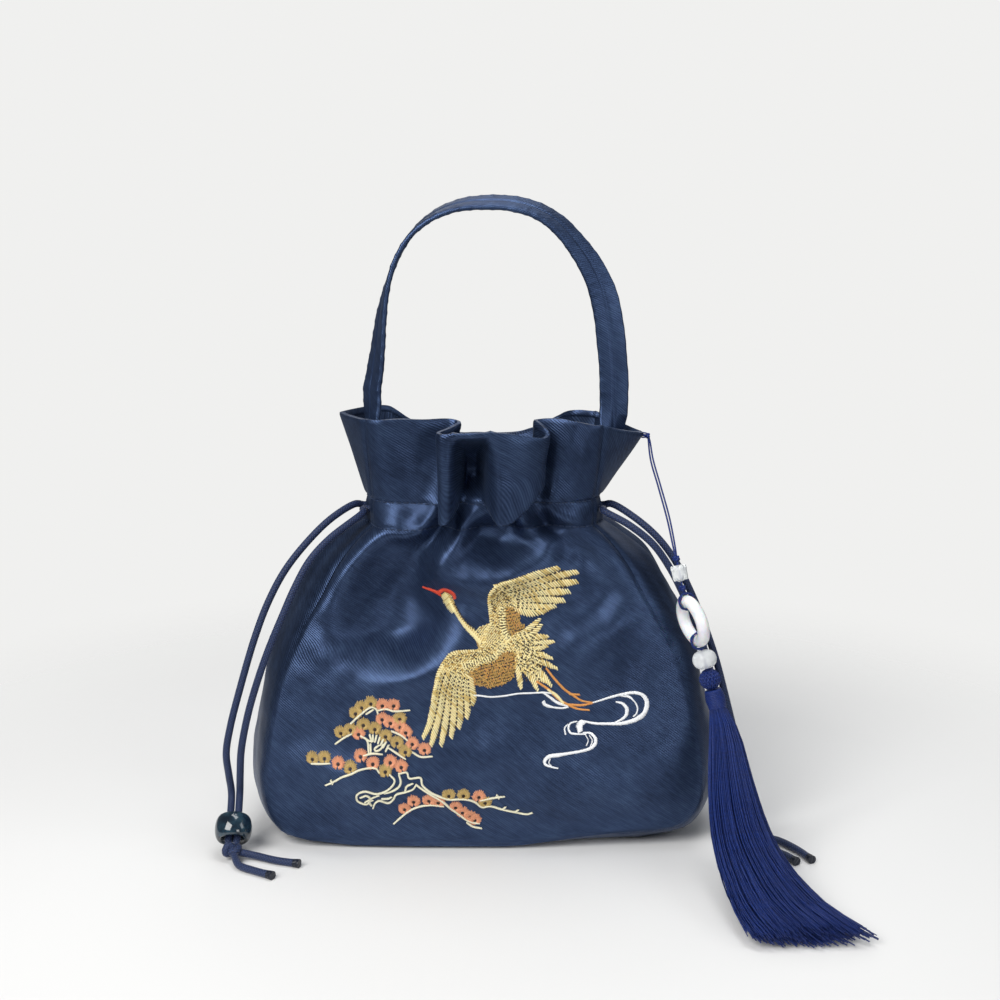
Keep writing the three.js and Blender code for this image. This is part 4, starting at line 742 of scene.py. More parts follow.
cloudLines = [
    ([(-4.1, 77.1), (-1.1, 76.8), (3.9, 76.3), (9.4, 76.8), (16.1, 78.1), (21.6, 78.6), (28.3, 78.9),
     (32.2, 78.4)], (1.1, 1, 1, 1, 1, 1, 1.1, 0.9)),
    ([(28.3, 78.8), (31.6, 76.3), (35, 73.7), (40, 71.8)], (1, 1.5, 1.7, 1)),
    ([(28.4, 74.4), (29.1, 72.8), (32.7, 71.5), (37.2, 70.9), (40.1, 71.3)], (2, 1.9, 1.1, 1.1, 1)),
    ([(51.1, 73.1), (55, 74.1), (60.6, 75.6), (66.2, 76.5), (71.9, 76.7), (75.3, 75.6), (77.5, 72.8),
     (77.5, 69.5), (75.9, 66.7), (72, 64.7), (66.3, 63.5), (60.7, 63.4), (52.3, 63.6), (47.3, 64.5)],
     (0.8, 1, 1.4, 1.5, 1.6, 2, 2.6, 2.7, 2.4, 2, 1.8, 1.4, 1.2, 1.1)),
    ([(62.9, 73.2), (65.7, 72.4), (67.9, 69.9), (67.6, 67.1), (65.6, 65.4), (62.3, 64.1)],
     (0.8, 1.3, 2.1, 1.9, 1.3, 0.7)),
    ([(65.2, 75.8), (69.1, 74.8), (71.8, 72.6), (73.1, 69.7), (72.5, 67.4), (71.1, 66.3)],
     (0.6, 0.7, 0.7, 0.8, 0.9, 0.8)),
    ([(66.9, 76.1), (69.9, 74.9), (71.2, 73.1)], (0.6, 0.6, 0.5)),
    ([(47.4, 64.6), (45.7, 62.7), (45.9, 59.7)], (3, 4, 3)),
    ([(44.2, 64.4), (41.2, 63.4), (40.3, 61.1), (41.3, 59.1), (44, 58.6), (48.4, 58.6)],
     (0.9, 1, 1.2, 1.1, 0.9, 0.8)),
    ([(40, 63), (38.5, 61.2), (38.9, 58.5)], (0.6, 0.8, 0.9)),
    ([(47.3, 59.2), (50.8, 59), (52.9, 56.8), (52.9, 54.4), (50.7, 52.2), (46.2, 50.9), (41.2, 50.2),
     (35.1, 49.4), (31.3, 48.9), (29.1, 46.9), (29.3, 45.2), (31.8, 44.1), (35.2, 43.3)],
     (0.8, 1.4, 1.9, 2, 1.7, 1.5, 1.4, 1.7, 2.1, 2.2, 1.8, 1, 0.8)),
    ([(48.4, 58.1), (49.6, 55.8), (48.7, 53.5)], (0.5, 0.6, 0.6)),
    ([(50.2, 58.1), (51.5, 55.7), (50.7, 53.3)], (0.5, 0.6, 0.6)),
    ([(31.5, 47.5), (31, 45.8), (32, 44.6)], (0.6, 0.7, 0.6)),
]
pineLines = {
    "gold": [(-60, 69), (-57.1, 71.9), (-52.7, 74.1), (-67.1, 59.6), (-62.5, 61.2), (-56.4, 63.5), (-51, 61.6),
     (-45.9, 58.2), (-40.5, 55.2), (-36.6, 51.1), (-80.8, 46.7), (-74.9, 47.5), (-62.5, 43.8), (-46, 42.2),
     (-16.1, 30.7), (-9.2, 30.7), (1, 26.2), (-39.2, 66.5)],
    "coral": [(-47.3, 73.1), (-42, 72.9), (-47.5, 66.2), (-43.6, 64.5), (-39, 62.6), (-36.4, 60.2),
     (-58.7, 59.2), (-33.3, 54.9), (-27.5, 52.4), (-68.3, 45.6), (-57.7, 48.9), (-51.9, 45.6), (-43.7, 46.2),
     (-38.5, 44.1), (-32.9, 26.6), (-37.3, 22.3), (-25.6, 27.5), (-21.2, 26.7), (-1.9, 29.6), (-13, 24),
     (-9.8, 20.9), (-6.3, 18.5), (-4, 16.5)],
    "branches": [[(-62.3, 63.6), (-57.5, 68.1), (-52.4, 71.7), (-50.2, 70.7), (-49.5, 68.5)], [(-54.9, 68.2),
     (-51.6, 70.5)], [(-49.5, 70.1), (-45.8, 70.8), (-42.2, 69.7), (-38.6, 69.7), (-34.5, 70.1)],
     [(-69.7, 53.6), (-65.6, 56.7), (-62, 58.7)], [(-57.6, 57.8), (-54.7, 55.8), (-53.9, 49.9)], [(-54.7, 55.9),
     (-52.5, 55.1)], [(-53.1, 54), (-52.9, 49.7)], [(-53.5, 58.4), (-52.4, 55.2)], [(-51.9, 58.3),
     (-51.8, 55.3)], [(-50.2, 58), (-50.9, 55)], [(-48.6, 57.3), (-49.5, 54.3)], [(-47, 56.3), (-48.2, 53.6)],
     [(-45.7, 55.1), (-47.2, 52.4)], [(-44.5, 53.6), (-45.9, 50.6)], [(-48.9, 53.6), (-51.1, 51.7),
     (-50.4, 50.8), (-48.2, 51.8), (-47.1, 54)], [(-44.6, 52.3), (-40.2, 49.4), (-36.5, 47.2)], [(-43, 60),
     (-38.7, 58.3), (-35.7, 56)], [(-33, 50.3), (-29.4, 48.4), (-23.9, 48.7)], [(-81.2, 43.9), (-76.8, 44.3),
     (-72.2, 44.8)], [(-74.4, 34), (-71.1, 35.9), (-66.6, 39), (-62.2, 40.7), (-57.8, 42.6), (-50.5, 42.9),
     (-48.9, 41.1)], [(-71.8, 36.9), (-71, 35.1)], [(-56.2, 48.6), (-51.9, 49.6), (-47.5, 49.3)], [(-43.9, 40),
     (-41.7, 37.4), (-42.6, 34.9), (-46.3, 31.8), (-50.7, 30.6), (-55.8, 32), (-59.5, 30), (-59.5, 26.4),
     (-55.2, 24.6), (-52.9, 27.8), (-49.2, 29.8)], [(-39.6, 40.1), (-38.8, 36.7), (-39.7, 34.1), (-43.4, 31.7),
     (-46.6, 30.9)], [(-58, 28.3), (-55.1, 29.5), (-53.5, 27.8), (-55.9, 25.7)], [(-52.3, 22.1), (-51.5, 24.7),
     (-49.3, 26.6), (-44.9, 25.2), (-42.6, 27.2), (-41.1, 29.9), (-36.8, 31.2), (-33.1, 32.8), (-31.5, 35.2)],
     [(-47.8, 27.7), (-44.9, 27.8), (-43.3, 28.7)], [(-53, 23.8), (-54.1, 25.8), (-52.2, 27)], [(-36.8, 32),
     (-36, 34.3), (-33.1, 35.8)], [(-39.6, 40.5), (-35.9, 40.9), (-34.8, 38.3), (-29.4, 38.4), (-28.6, 35.2),
     (-25.2, 32.1), (-19.4, 29.3), (-15.7, 28.2), (-8.5, 28.2), (-4.1, 26.6), (-0.5, 23.4), (3.1, 23.8),
     (9, 21.8), (14.8, 20.6), (20.7, 19.4), (23.3, 20.2)], [(-31.5, 35.2), (-28.8, 33.2), (-24.5, 30.5),
     (-19.4, 27.2), (-15.8, 23.4), (-11.4, 19.4), (-7.8, 16.1), (-4.9, 14.6), (-1.8, 14.1)], [(-7.8, 14.6),
     (-4.9, 12.4), (-0.8, 11.5)], [(-42.6, 13.7), (-39.2, 17.2), (-34.8, 21.2), (-29.6, 23.7), (-24.5, 24.6),
     (-18.7, 24.2)], [(-1.2, 27.2), (3.9, 28.2), (10.1, 29)], [(6.4, 29.8), (7.5, 28)], [(9.6, 22),
     (10.6, 23.4)], [(15.4, 20.6), (16.7, 22)]],
}
threads = {}
for name, dark, light in (
        ("cream", (0.92, 0.77, 0.34), (1.0, 0.95, 0.64)), ("butter", (0.66, 0.48, 0.14), (0.92, 0.76, 0.34)),
        ("gold", (0.42, 0.26, 0.06), (0.76, 0.54, 0.18)), ("russet", (0.50, 0.24, 0.05), (0.86, 0.49, 0.15)),
        ("umber", (0.020, 0.010, 0.006), (0.060, 0.032, 0.016)), ("orange", (0.58, 0.22, 0.05), (0.90, 0.46, 0.14)),
        ("red", (0.50, 0.036, 0.018), (0.84, 0.11, 0.055)), ("olive", (0.34, 0.23, 0.07), (0.74, 0.53, 0.21)),
        ("coral", (0.60, 0.22, 0.11), (0.93, 0.49, 0.30)), ("straw", (0.74, 0.70, 0.50), (0.96, 0.94, 0.78)),
        ("white", (0.86, 0.88, 0.90), (0.97, 0.97, 0.98))):
    threads[name] = cordMaterial(name + "Thread", dark, light, 0.34, 0.42, slant=2.2, sheen=0.15, depth=0.04)
mixed = ("cream", "cream", "cream", "butter")
sewing = {"pitch": 0.5, "thick": 0.62, "low": 0.24, "high": 0.48, "top": 0.78, "under": 0.12, "deep": 0.36}


def heading(turn):
    return np.array([math.cos(turn), math.sin(turn)])


# A stitch is its two ends, how thick it is, how far it rises from the cloth, and its thread
def satinLine(points, widths, thread, slant=0.5, pitch=sewing["pitch"], thick=sewing["thick"], rise=sewing["high"]):
    count = max(4, int(lengths(points)[-1] / pitch) + 1)
    path = smoothPath(points, count)
    along = unit(np.gradient(path, axis=0))
    across = np.column_stack([-along[:, 1], along[:, 0]])
    half = np.interp(np.linspace(0, 1, count), np.linspace(0, 1, len(widths)), widths) / 2
    half = half * rng.uniform(0.9, 1.12, count)
    lean = across * half[:, None] - along * (half * slant)[:, None]
    which = rng.choice([thread] if isinstance(thread, str) else thread, count)
    return [(*(c + d), *(c - d), thick, rise, str(kind)) for c, d, kind in zip(path, lean, which)]


def insideShape(points, shape):
    shape = np.array(shape, float)
    inside = np.zeros(len(points), bool)
    for a, b in zip(shape, np.roll(shape, -1, 0)):
        crosses = (a[1] > points[:, 1]) != (b[1] > points[:, 1])
        at = a[0] + (points[:, 1] - a[1]) * (b[0] - a[0]) / np.where(b[1] == a[1], 1e-9, b[1] - a[1])
        inside ^= crosses & (points[:, 0] < at)
    return inside


def fillShape(shape, angle, length, thread, pitch=sewing["pitch"], share=1.0, rise=sewing["low"], wander=8,
              thick=sewing["thick"]):
    low, high = np.min(shape, 0), np.max(shape, 0)
    reach = np.linalg.norm(high - low) / 2 + length
    way = heading(math.radians(angle))
    found = []
    for row in np.arange(-reach, reach, pitch):
        for step in np.arange(-reach + rng.uniform(0, length), reach, length * 0.93):
            found.append((low + high) / 2 + np.array([-way[1], way[0]]) * row + way * step)
    found = np.array(found)
    found = found[insideShape(found, shape)]
    stitches = []
    for c in found[rng.uniform(0, 1, len(found)) < share]:
        d = heading(math.radians(angle + rng.normal(0, wander))) * length / 2 * rng.uniform(0.85, 1.1)
        stitches.append((*(c - d), *(c + d), thick, rise, thread))
    return stitches


blossom = {"radius": 3.95, "rays": 25, "spread": 318, "hub": 0.18, "sunk": 0.22, "thick": 0.66, "heart": 4}


def pompom(centre, thread):  # a fan of stitches round a dark heart
    radius, rays, stitches = blossom["radius"], blossom["rays"], []
    hub = np.array(centre) + (0, -blossom["sunk"] * radius)
    tilt = rng.uniform(-25, 25)
    for k in range(rays):
        turn = math.radians(tilt + 90 + (k / (rays - 1) - 0.5) * blossom["spread"])
        ray = heading(turn)
        far = radius * (0.84 + 0.20 * math.sin(turn)) * rng.uniform(0.9, 1.08)
        stitches.append((*(hub + ray * blossom["hub"] * radius), *(hub + ray * far), blossom["thick"],
                         sewing["high"] + 0.1 * (k % 2), thread))
    for k in range(blossom["heart"]):
        d = heading(rng.uniform(0, math.pi)) * 0.25 * radius
        stitches.append((*(hub - d), *(hub + d), 0.5, sewing["low"] + 0.12, "umber"))
    return stitches


def sewn(name, node, stitches):  # every stitch is a small ridge, its ends drawn into the cloth
    count = len(stitches)
    x0, z0, x1, z1, wide, rise = np.array([s[:6] for s in stitches]).T[..., None]
    along = np.array([0, 0.2, 0.8, 1])
    middle, normal = frontAt((x0 + (x1 - x0) * along).ravel(), (z0 + (z1 - z0) * along).ravel())
    middle, normal = middle.reshape(-1, 4, 3), normal.reshape(-1, 4, 3)
    side = unit(np.cross(normal, unit(middle[:, 3] - middle[:, 0])[:, None, :]))
    aside = side * (wide / 2 * np.array([0.55, 1, 1, 0.55]))[..., None]
    ground = np.maximum(rise - sewing["deep"], -sewing["under"]) * np.array([0, 1, 1, 0])
    base = middle + normal * np.where([True, False, False, True], -sewing["under"], ground)[..., None]
    ridge = middle + normal * (rise * np.array([-0.1, 1, 1, -0.1]))[..., None]
    points = np.stack([base + aside, ridge, base - aside], 2).reshape(-1, 3)
    run = np.linalg.norm(middle - middle[:, :1], axis=2)[..., None]
    uvs = np.stack(np.broadcast_arrays(run, [-0.4, 0, 0.4]), -1).reshape(-1, 2)
    uvs = uvs + np.repeat(rng.uniform(0, 30, count), 12)[:, None]
    one = [(k * 3 + a, k * 3 + b, k * 3 + 3 + b, k * 3 + 3 + a) for k in range(3) for a, b in ((0, 1), (1, 2), (2, 0))]
    one += [(2, 1, 0), (9, 10, 11)]
    faces = [tuple(12 * n + k for k in face) for n in range(count) for face in one]
    piece = makeMesh(name, points, faces, uvs, None, "bag", node)
    used = [thread for thread in threads if any(s[6] == thread for s in stitches)]
    for thread in used:
        piece.data.materials.append(threads[thread])
    which = np.repeat([used.index(s[6]) for s in stitches], len(one))
    piece.data.polygons.foreach_set("material_index", which.astype(np.int32))
    print(name, count, "stitches")


def feather(line, width, slant, tip):
    widths = np.array((width * 0.8, width, width, width * 0.95, tip))
    under = satinLine(line, widths * 0.94, ("gold", "gold", "umber"), slant, 0.5, rise=sewing["low"])
    return under + satinLine(line, widths, mixed, slant, 1.14, 0.8, 0.52)


def dashes(line, start, end, length=1.25, pitch=2.0, thick=0.78):  # broken dark outline
    path = smoothPath(line, 80)[int(start * 79):int(end * 79) + 1]
    run, stitches = lengths(path), []
    for at in np.arange(0.2, run[-1] - length, pitch):
        a, b = walked(path, run, [at, at + length])
        aside = np.array([a[1] - b[1], b[0] - a[0]]) * rng.uniform(-0.25, 0.25)
        stitches.append((*(a - aside), *(b + aside), thick, sewing["top"], "umber"))
    return stitches


def fan(lines, width, slant, tip, reach):
    stitches = [stitch for line in lines for stitch in feather(line, width, slant, tip)]
    paths = [smoothPath(line, 12) for line in lines]
    for a, b in zip(paths, paths[1:]):
        stitches += dashes(mix(a, b, 0.5), 0.04, reach)
        stitches += dashes(mix(a, b, 0.06), 0.08, 0.5, 0.55, 1.9, 0.6)
    return stitches


crane = []
for shape in craneLines["filler"]:
    crane += fillShape(shape, 55, 1.4, "gold", 0.46, wander=14)
for shape in craneLines["coverts"]:
    crane += fillShape(shape, 62, 1.5, "gold", rise=0.3)
    crane += fillShape(shape, 48, 1.15, "cream", 0.92, 0.8, 0.6, 26)
    crane += fillShape(shape, 52, 1.0, "butter", 1.5, 0.6, 0.66, 30)
    crane += fillShape(shape, -30, 0.85, "umber", 1.35, 0.5, 0.8, 30, 0.6)
for shape in craneLines["breast"]:
    crane += fillShape(shape, 50, 1.2, "cream", 0.86, 0.9, 0.66, 22)
for shape in craneLines["brown"]:
    crane += fillShape(shape, 84, 1.9, "russet", rise=0.4, wander=30)
    crane += fillShape(shape, 70, 0.9, "gold", 0.9, 0.8, 0.68, 60)
    crane += fillShape(shape, 15, 0.65, "umber", 1.35, 0.5, 0.76, 60, 0.55)
for line in craneLines["bars"]:
    crane += satinLine(line, (3.8, 4.2, 3.9), "umber", 0.0, 0.62, 0.6, 0.36)
    crane += satinLine(line, (3.7, 4.1, 3.8), "cream", 0.1, 1.2, 0.78, 0.66)
crane += fan(craneLines["lowerFeathers"], 4.0, -0.9, 2.2, 0.96)
crane += fan(craneLines["upperFeathers"], 4.4, 0.8, 2.4, 0.95)
crane += fan(craneLines["tailFeathers"][:-1], 3.2, 0.9, 1.5, 0.8)
crane += feather(craneLines["tailFeathers"][-1], 3.2, 0.9, 1.5)
for line in craneLines["edges"]:
    crane += satinLine(line, (1.3, 1.9, 1.8, 1.3), "gold", rise=0.4)
    crane += satinLine(line, (1.5, 2.2, 2.1, 1.5), mixed, 0.5, 1.1, 0.78, 0.68)
for line in craneLines["neck"]:
    crane += satinLine(line, (2.8, 2.4, 2.2, 2.6, 3.8, 4.6), "cream", 0.5, 0.6, 0.66, rise=0.5)
    crane += satinLine(np.array(line) + (0.5, 0.4), (1.0, 1.0, 1.2, 2.2), "gold", 0.5, 1.1, rise=0.68)
    crane += dashes(np.array(line) + (1.2, 0.9), 0.1, 0.95, 0.8, 1.5)
for line in craneLines["face"]:
    crane += satinLine(line, (4.4, 6.0, 5.4, 3.0), mixed, 0.3, 0.62, 0.66, 0.6)
    crane += satinLine(np.array(line) + (1.7, 0.9), (0.9, 1.1, 0.9), "gold", 0.3, 0.8, rise=0.72)
crane += satinLine(craneLines["beak"][0], (1.0, 1.7, 2.6), "red", 0.6, 0.42, rise=0.66)
crane += satinLine(craneLines["crown"][0], (2.0, 2.1, 2.1, 1.4), "red", 0.3, 0.42, rise=0.78)
for line in craneLines["legs"]:
    crane += satinLine(line, (1.0, 1.25, 1.1, 0.8), "orange", 0.9, 0.42, rise=0.5)
for line in craneLines["shank"]:
    crane += satinLine(line, (0.9, 1.7, 1.2), "cream", 0.8, 0.46, rise=0.62)
sewn("craneEmbroidery", "crane_embroidery", crane)

cloud = []
for line, widths in cloudLines:
    cloud += satinLine(line, np.array(widths) * 0.92, "white", 0.45, 0.42, rise=0.42)
sewn("cloudEmbroidery", "cloud_embroidery", cloud)

pine = [stitch for centre in pineLines["gold"] for stitch in pompom(centre, "olive")]
pine += [stitch for centre in pineLines["coral"] for stitch in pompom(centre, "coral")]
for line in pineLines["branches"]:
    pine += satinLine(line, (0.9, 1.1, 1.05, 0.8), "straw", 0.7, 0.42, rise=0.74)
sewn("pineEmbroidery", "pine_embroidery", pine)
print("embroidery done")


# Drawstrings: the routes of the CAD model, in millimetres
drawcord = {"radius": 1.75, "sides": 14, "inCasing": 3.15, "rows": {"left": 1.333, "right": 1.667},
            "leavesAt": {"front": -0.62, "back": -0.12}, "inside": 0.9, "outside": 2.8,
            "tip": (1.02, 1.08, 1.16, 1.22), "tipRings": 3}
bead = {"radius": 8.75, "bore": 4.3, "height": 13, "shown": 11.8, "lane": 17.55, "span": 2.0, "knotRadius": 4.7,
        "knotSeat": 11.5}
strings = {
    "left": {"sign": -1, "bead": (-119, -49, 12.4), "lean": (0.05, -0.74, -0.67),
             "front": [(-57, -16.5, 159.5), (-72.6, -27, 148.5), (-81.5, -33, 139.3), (-88, -37.5, 127.8),
                       (-94, -41, 114.3), (-100, -43, 100.2), (-105.8, -44, 84.5), (-111, -44, 67.6),
                       (-115.3, -42, 48.5), (-116.8, -39, 35)],
             "back": [(-62, -5, 161), (-73, -13, 155.5), (-84, -20, 145.5), (-94.5, -26, 132.5),
                      (-102.5, -30, 117.5), (-108.5, -34, 101.6), (-115.2, -38.5, 79), (-120.4, -41, 59.4),
                      (-122.8, -40.5, 46.3), (-122.3, -38.5, 34.5)],
             "inner": [(-107, -58.5, 2.4), (-97, -62.5, 1.9), (-85.5, -66, 1.9)],
             "outer": [(-113.5, -68, 2.2), (-106, -73, 1.9), (-96, -78.5, 1.9)]},
    "right": {"sign": 1, "bead": (125.5, -34.5, 12.4), "lean": (0.2, -0.69, -0.69),
              "front": [(57, -15.5, 160), (69.5, -22, 154), (80.5, -25, 145.5), (88.5, -26, 134.5), (95.5, -26, 121),
                        (102.3, -26, 105), (108, -26, 88), (113, -26, 68), (117.5, -25.5, 48), (119.8, -24.5, 35)],
              "back": [(62, -5, 161), (73, -12, 155.5), (83.5, -17, 147), (92, -19, 136), (99.5, -20, 121.5),
                       (106.5, -20.5, 105), (112.5, -21.5, 88), (118, -22.5, 68), (123, -23.5, 48), (125, -24, 35)],
              "inner": [(136.5, -50.5, 2.2), (143, -57, 1.9), (147, -64, 1.9)],
              "outer": [(141, -40.5, 2.4), (149, -49.5, 1.9), (154.5, -62, 1.9)]},
}


def gussetNormal(sign, q, v, step=0.01):
    a, b = (gussetPoint(sign, q + dq, v + dv, plain=True) - gussetPoint(sign, q - dq, v - dv, plain=True)
            for dq, dv in ((step, 0), (0, step)))
    n = unit(np.cross(a, b))
    return n * np.sign(n[0] * sign)


def turnTo(axis):  # turns what is modelled round +Z to its own axis
    return Vector((0, 0, 1)).rotation_difference(Vector(axis)).to_matrix()


def deselect():
    bpy.ops.object.select_all(action="DESELECT")


def inEditMode(act):
    bpy.ops.object.mode_set(mode="EDIT")
    bpy.ops.mesh.select_all(action="SELECT")
    act()
    bpy.ops.object.mode_set(mode="OBJECT")


def applied(piece, kind, **settings):  # a modifier that is set and applied
    modifier = piece.modifiers.new(kind.lower(), kind)
    for key, value in settings.items():
        setattr(modifier, key, value)
    bpy.ops.object.modifier_apply(modifier=modifier.name)


def placed(piece, name, place, axis, material, body, *nodes):
    bpy.ops.object.shade_smooth()
    piece.name = name
    piece.data.materials.clear()
    piece.data.transform(Matrix.Translation(Vector(place) * mm) @ turnTo(axis).to_4x4())
    piece.matrix_world = Matrix.Identity(4)
    return dress(piece, material, body, *nodes)


def knotParts(radius, thread, place, axis):  # a cord tied round itself
    t = np.linspace(0, fullTurn, 90)
    path = np.stack([np.sin(t) + 2 * np.sin(2 * t), np.cos(t) - 2 * np.cos(2 * t), -1.5 * np.sin(3 * t)], 1)
    path = path * (radius - thread) / 3
    return tubeParts(path @ np.array(turnTo(axis)).T + np.array(place), thread, 10, ends=False)


def tieKnot(name, radius, thread, place, axis, material, body, node):
    reach = unit(axis) * radius * 0.55
    core = smoothPath([place - reach, place, place + reach], 7)
    parts = [knotParts(radius, thread, place, axis), tubeParts(core, radius * 0.42, 10)]
    return makeMesh(name, *joined(parts), material, body, node)


def looseCord(piece, path, slot, thickness, length, farEnd, *carried):
    print(piece.name, "length", round(length, 1))


def insetLoop(row):  # once round inside the casing, keeping its distance from the cloth
    s, q = np.linspace(-0.97, 0.97, 130), np.linspace(-0.85, 0.85, 24)
    loop = np.vstack([panelPoint(-1, s, row, calm=True), gussetPoint(1, q, row), panelPoint(1, s[::-1], row),
                      gussetPoint(-1, q[::-1], row)])
    along = unit(np.roll(loop, -1, 0) - np.roll(loop, 1, 0))
    out = unit(np.stack([along[:, 1], -along[:, 0], np.zeros(len(loop))], 1))
    inner = loop - out * drawcord["inCasing"]
    for _ in range(30):
        inner = 0.5 * inner + 0.25 * (np.roll(inner, 1, 0) + np.roll(inner, -1, 0))
        near = np.linalg.norm(inner[:, None] - loop[None], axis=2).argmin(1)
        away = np.sum((loop[near] - inner) * out[near], 1)
        inner += out[near] * np.minimum(0, away - drawcord["inCasing"])[:, None] * 0.8
    return inner


for side, string in strings.items():
    sign, middle, lean = string["sign"], np.array(string["bead"], float), unit(string["lean"])
    body, radius = side + "_drawstring", drawcord["radius"]
    ring = insetLoop(drawcord["rows"][side])
    leave = gussetPoint(sign, drawcord["leavesAt"]["front"], 1.5, plain=True)
    ring = np.roll(ring, -int(np.argmin(np.linalg.norm(ring - leave, axis=1))), 0)[:-5]
    tube(side + "CasingCord", smoothPath(ring[::3], 240), radius, 8, cordBraid, "bag", side + "_casing_cord")

    knot, knotRadius = middle + lean * bead["knotSeat"], bead["knotRadius"] + 0.3
    knotPiece = tieKnot(side + "StringKnot", knotRadius, radius, knot, lean, cordBraid, body, side + "_string_knot")
    bpy.ops.mesh.primitive_torus_add(major_segments=64, minor_segments=28, location=(0, 0, 0),
                                     major_radius=(bead["radius"] + bead["bore"]) / 2 * mm,
                                     minor_radius=(bead["radius"] - bead["bore"]) / 2 * mm)
    tall = bead["shown"] / (bead["radius"] - bead["bore"])
    inEditMode(lambda: bpy.ops.transform.resize(value=(1, 1, tall)))
    beadPiece = placed(bpy.context.object, side + "Bead", middle + lean * (bead["height"] - bead["shown"]) / 2, lean,
                       glaze, side + "_stopper", side + "_bead")

    for which, tail, way in (("front", "inner", 1), ("back", "outer", -1)):
        q = drawcord["leavesAt"][which]
        leave, outward = gussetPoint(sign, q, 1.5, plain=True), gussetNormal(sign, q, 1.5)
        aside = unit(np.cross([0, -1, 0], lean)) * -sign * bead["span"] * way
        tailStart = knot + unit(np.array(string[tail][0]) - knot) * knotRadius
        stops = [leave - outward * drawcord["inside"], leave + outward * drawcord["outside"], *string[which],
                 middle - lean * bead["lane"] + aside, middle + aside,
                 middle + lean * (bead["height"] / 2 + 0.3) + aside, knot + aside * 0.55,
                 mix(knot, tailStart, 0.6), *string[tail]]
        path = smoothPath(stops, 150)
        swelling = np.full(len(path), radius)
        swelling[-4:] = radius * np.array(drawcord["tip"])
        cordPiece = tube(side + which.capitalize() + "Cord", path, swelling, drawcord["sides"], cordBraid, None)
        cordPiece.data.materials.append(cordTip)
        for face in cordPiece.data.polygons:
            face.material_index = int(face.index >= (len(path) - drawcord["tipRings"]) * drawcord["sides"])
        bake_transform(cordPiece)
        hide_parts(f"{side}_{which}_strand", f"{side}_{tail}_tail")
        looseCord(cordPiece, path, "drawcord", 2 * radius, lengths(path)[-1], "bare",
                  *([knotPiece, beadPiece] if way > 0 else []))
print("drawstrings done")


# Handle: one folded satin strap, sewn down inside the collar
strap = {"width": 14, "thick": 2.4, "hinge": 214, "footRow": 2.42, "inset": 7.6, "seamDeep": 0.35, "seamHalf": 0.9,
         "stitchIn": 1.75, "rings": 420,
         "arch": [(-53.7, 0, 51), (-53.6, 3, 52), (-52.6, 8, 54), (-50.6, 21.5, 62), (-48.6, 37.5, 72),
                  (-45.6, 51.5, 84), (-41, 64.5, 90), (-34, 75.5, 88), (-24, 84, 80), (-12, 89, 72), (1, 90.5, 66),
                  (14, 89.9, 64), (26, 86.5, 60), (36, 80, 54), (44.6, 70.5, 46), (51.5, 60.5, 36), (56.6, 49.5, 22),
                  (59.6, 37.5, 8), (61.6, 22.5, 0), (62.9, 7.5, 0), (63, 0, 0)]}  # across, up, how far it is turned


def runAt(path, places):  # how far along a path the points nearest to these places lie
    run = lengths(path)
    return [run[int(np.argmin(np.linalg.norm(path - p, axis=1)))] for p in places]


def strapStations():
    stations = [(x, z + strap["hinge"], turn) for x, z, turn in strap["arch"]]
    for sign, topTurn in ((-1, 51), (1, 0)):
        foot = gussetPoint(sign, 0, strap["footRow"], plain=True)
        footX, topX = foot[0] - sign * strap["inset"], strap["arch"][0 if sign < 0 else -1][0]
        drop = strap["hinge"] - 0.3 - foot[2]
        leg = [(footX, foot[2], 90), (mix(footX, topX, 0.6), foot[2] + 0.35 * drop, mix(90, topTurn, 0.35)),
               (topX, foot[2] + 0.8 * drop, topTurn)]
        stations = leg + stations if sign < 0 else stations + leg[::-1]
    return np.array(stations, float)


def strapSection():  # folded edges, a seam along the middle and a line of stitches by each edge
    half, thick, corner = strap["width"] / 2, strap["thick"] / 2, strap["thick"] * 0.46
    upper = []
    for u in np.linspace(-half + corner, half - corner, 21):
        puff = 0.12 * hump((abs(u) - 0.6) / (half - 1.2)) if abs(u) > 0.6 else -strap["seamDeep"] * (
            1 - abs(u) / strap["seamHalf"])
        inward = abs(u) - half + strap["stitchIn"]
        upper.append((u, thick + puff + (-0.14 * hump((inward + 0.35) / 0.7) if abs(inward) < 0.36 else 0.0)))
    bend = [(half - corner + corner * math.sin(t), thick * math.cos(t)) for t in np.linspace(0, math.pi, 9)[1:-1]]
    lower = [(u, -h) for u, h in upper][::-1]
    return np.array(upper + bend + lower + [(-u, -h) for u, h in bend], float)


stations = strapStations()
line = np.stack([stations[:, 0], np.zeros(len(stations)), stations[:, 1]], 1)
path = smoothPath(line, strap["rings"])
run = lengths(path)
turns = np.radians(np.interp(run, runAt(path, line), stations[:, 2]))
window = np.hanning(25) / np.hanning(25).sum()
turns = np.convolve(np.pad(turns, 12, mode="edge"), window, mode="valid")[:, None]
along, depthWay = unit(np.gradient(path, axis=0)), np.array([0, 1, 0])
wide = np.cross(along, depthWay) * np.cos(turns) + depthWay * np.sin(turns)
u, h = strapSection().T
pucker = 0.10 * np.sin(run * 1.15 + 0.7) + 0.07 * np.sin(run * 0.53 + 2.1) + 0.05 * np.sin(run * 2.3)
edgeWave = 1 + 0.010 * np.sin(run * 0.31) + 0.008 * np.sin(run * 0.93 + 1)
swell = 1 + pucker[:, None] * np.abs(u / 7) ** 1.5
rings = (path[:, None, :] + wide[:, None, :] * (u * edgeWave[:, None])[..., None]
         + np.cross(wide, along)[:, None, :] * (h * swell)[..., None])
count, points = len(u), rings.reshape(-1, 3)
uvs = np.stack([np.tile(lengths(np.stack([u, h], 1)), len(path)), np.repeat(run, count)], 1)
faces = gridFaces(len(path), count, wrap=True)
faces += [tuple(range(count))[::-1], tuple(range(len(points) - count, len(points)))]
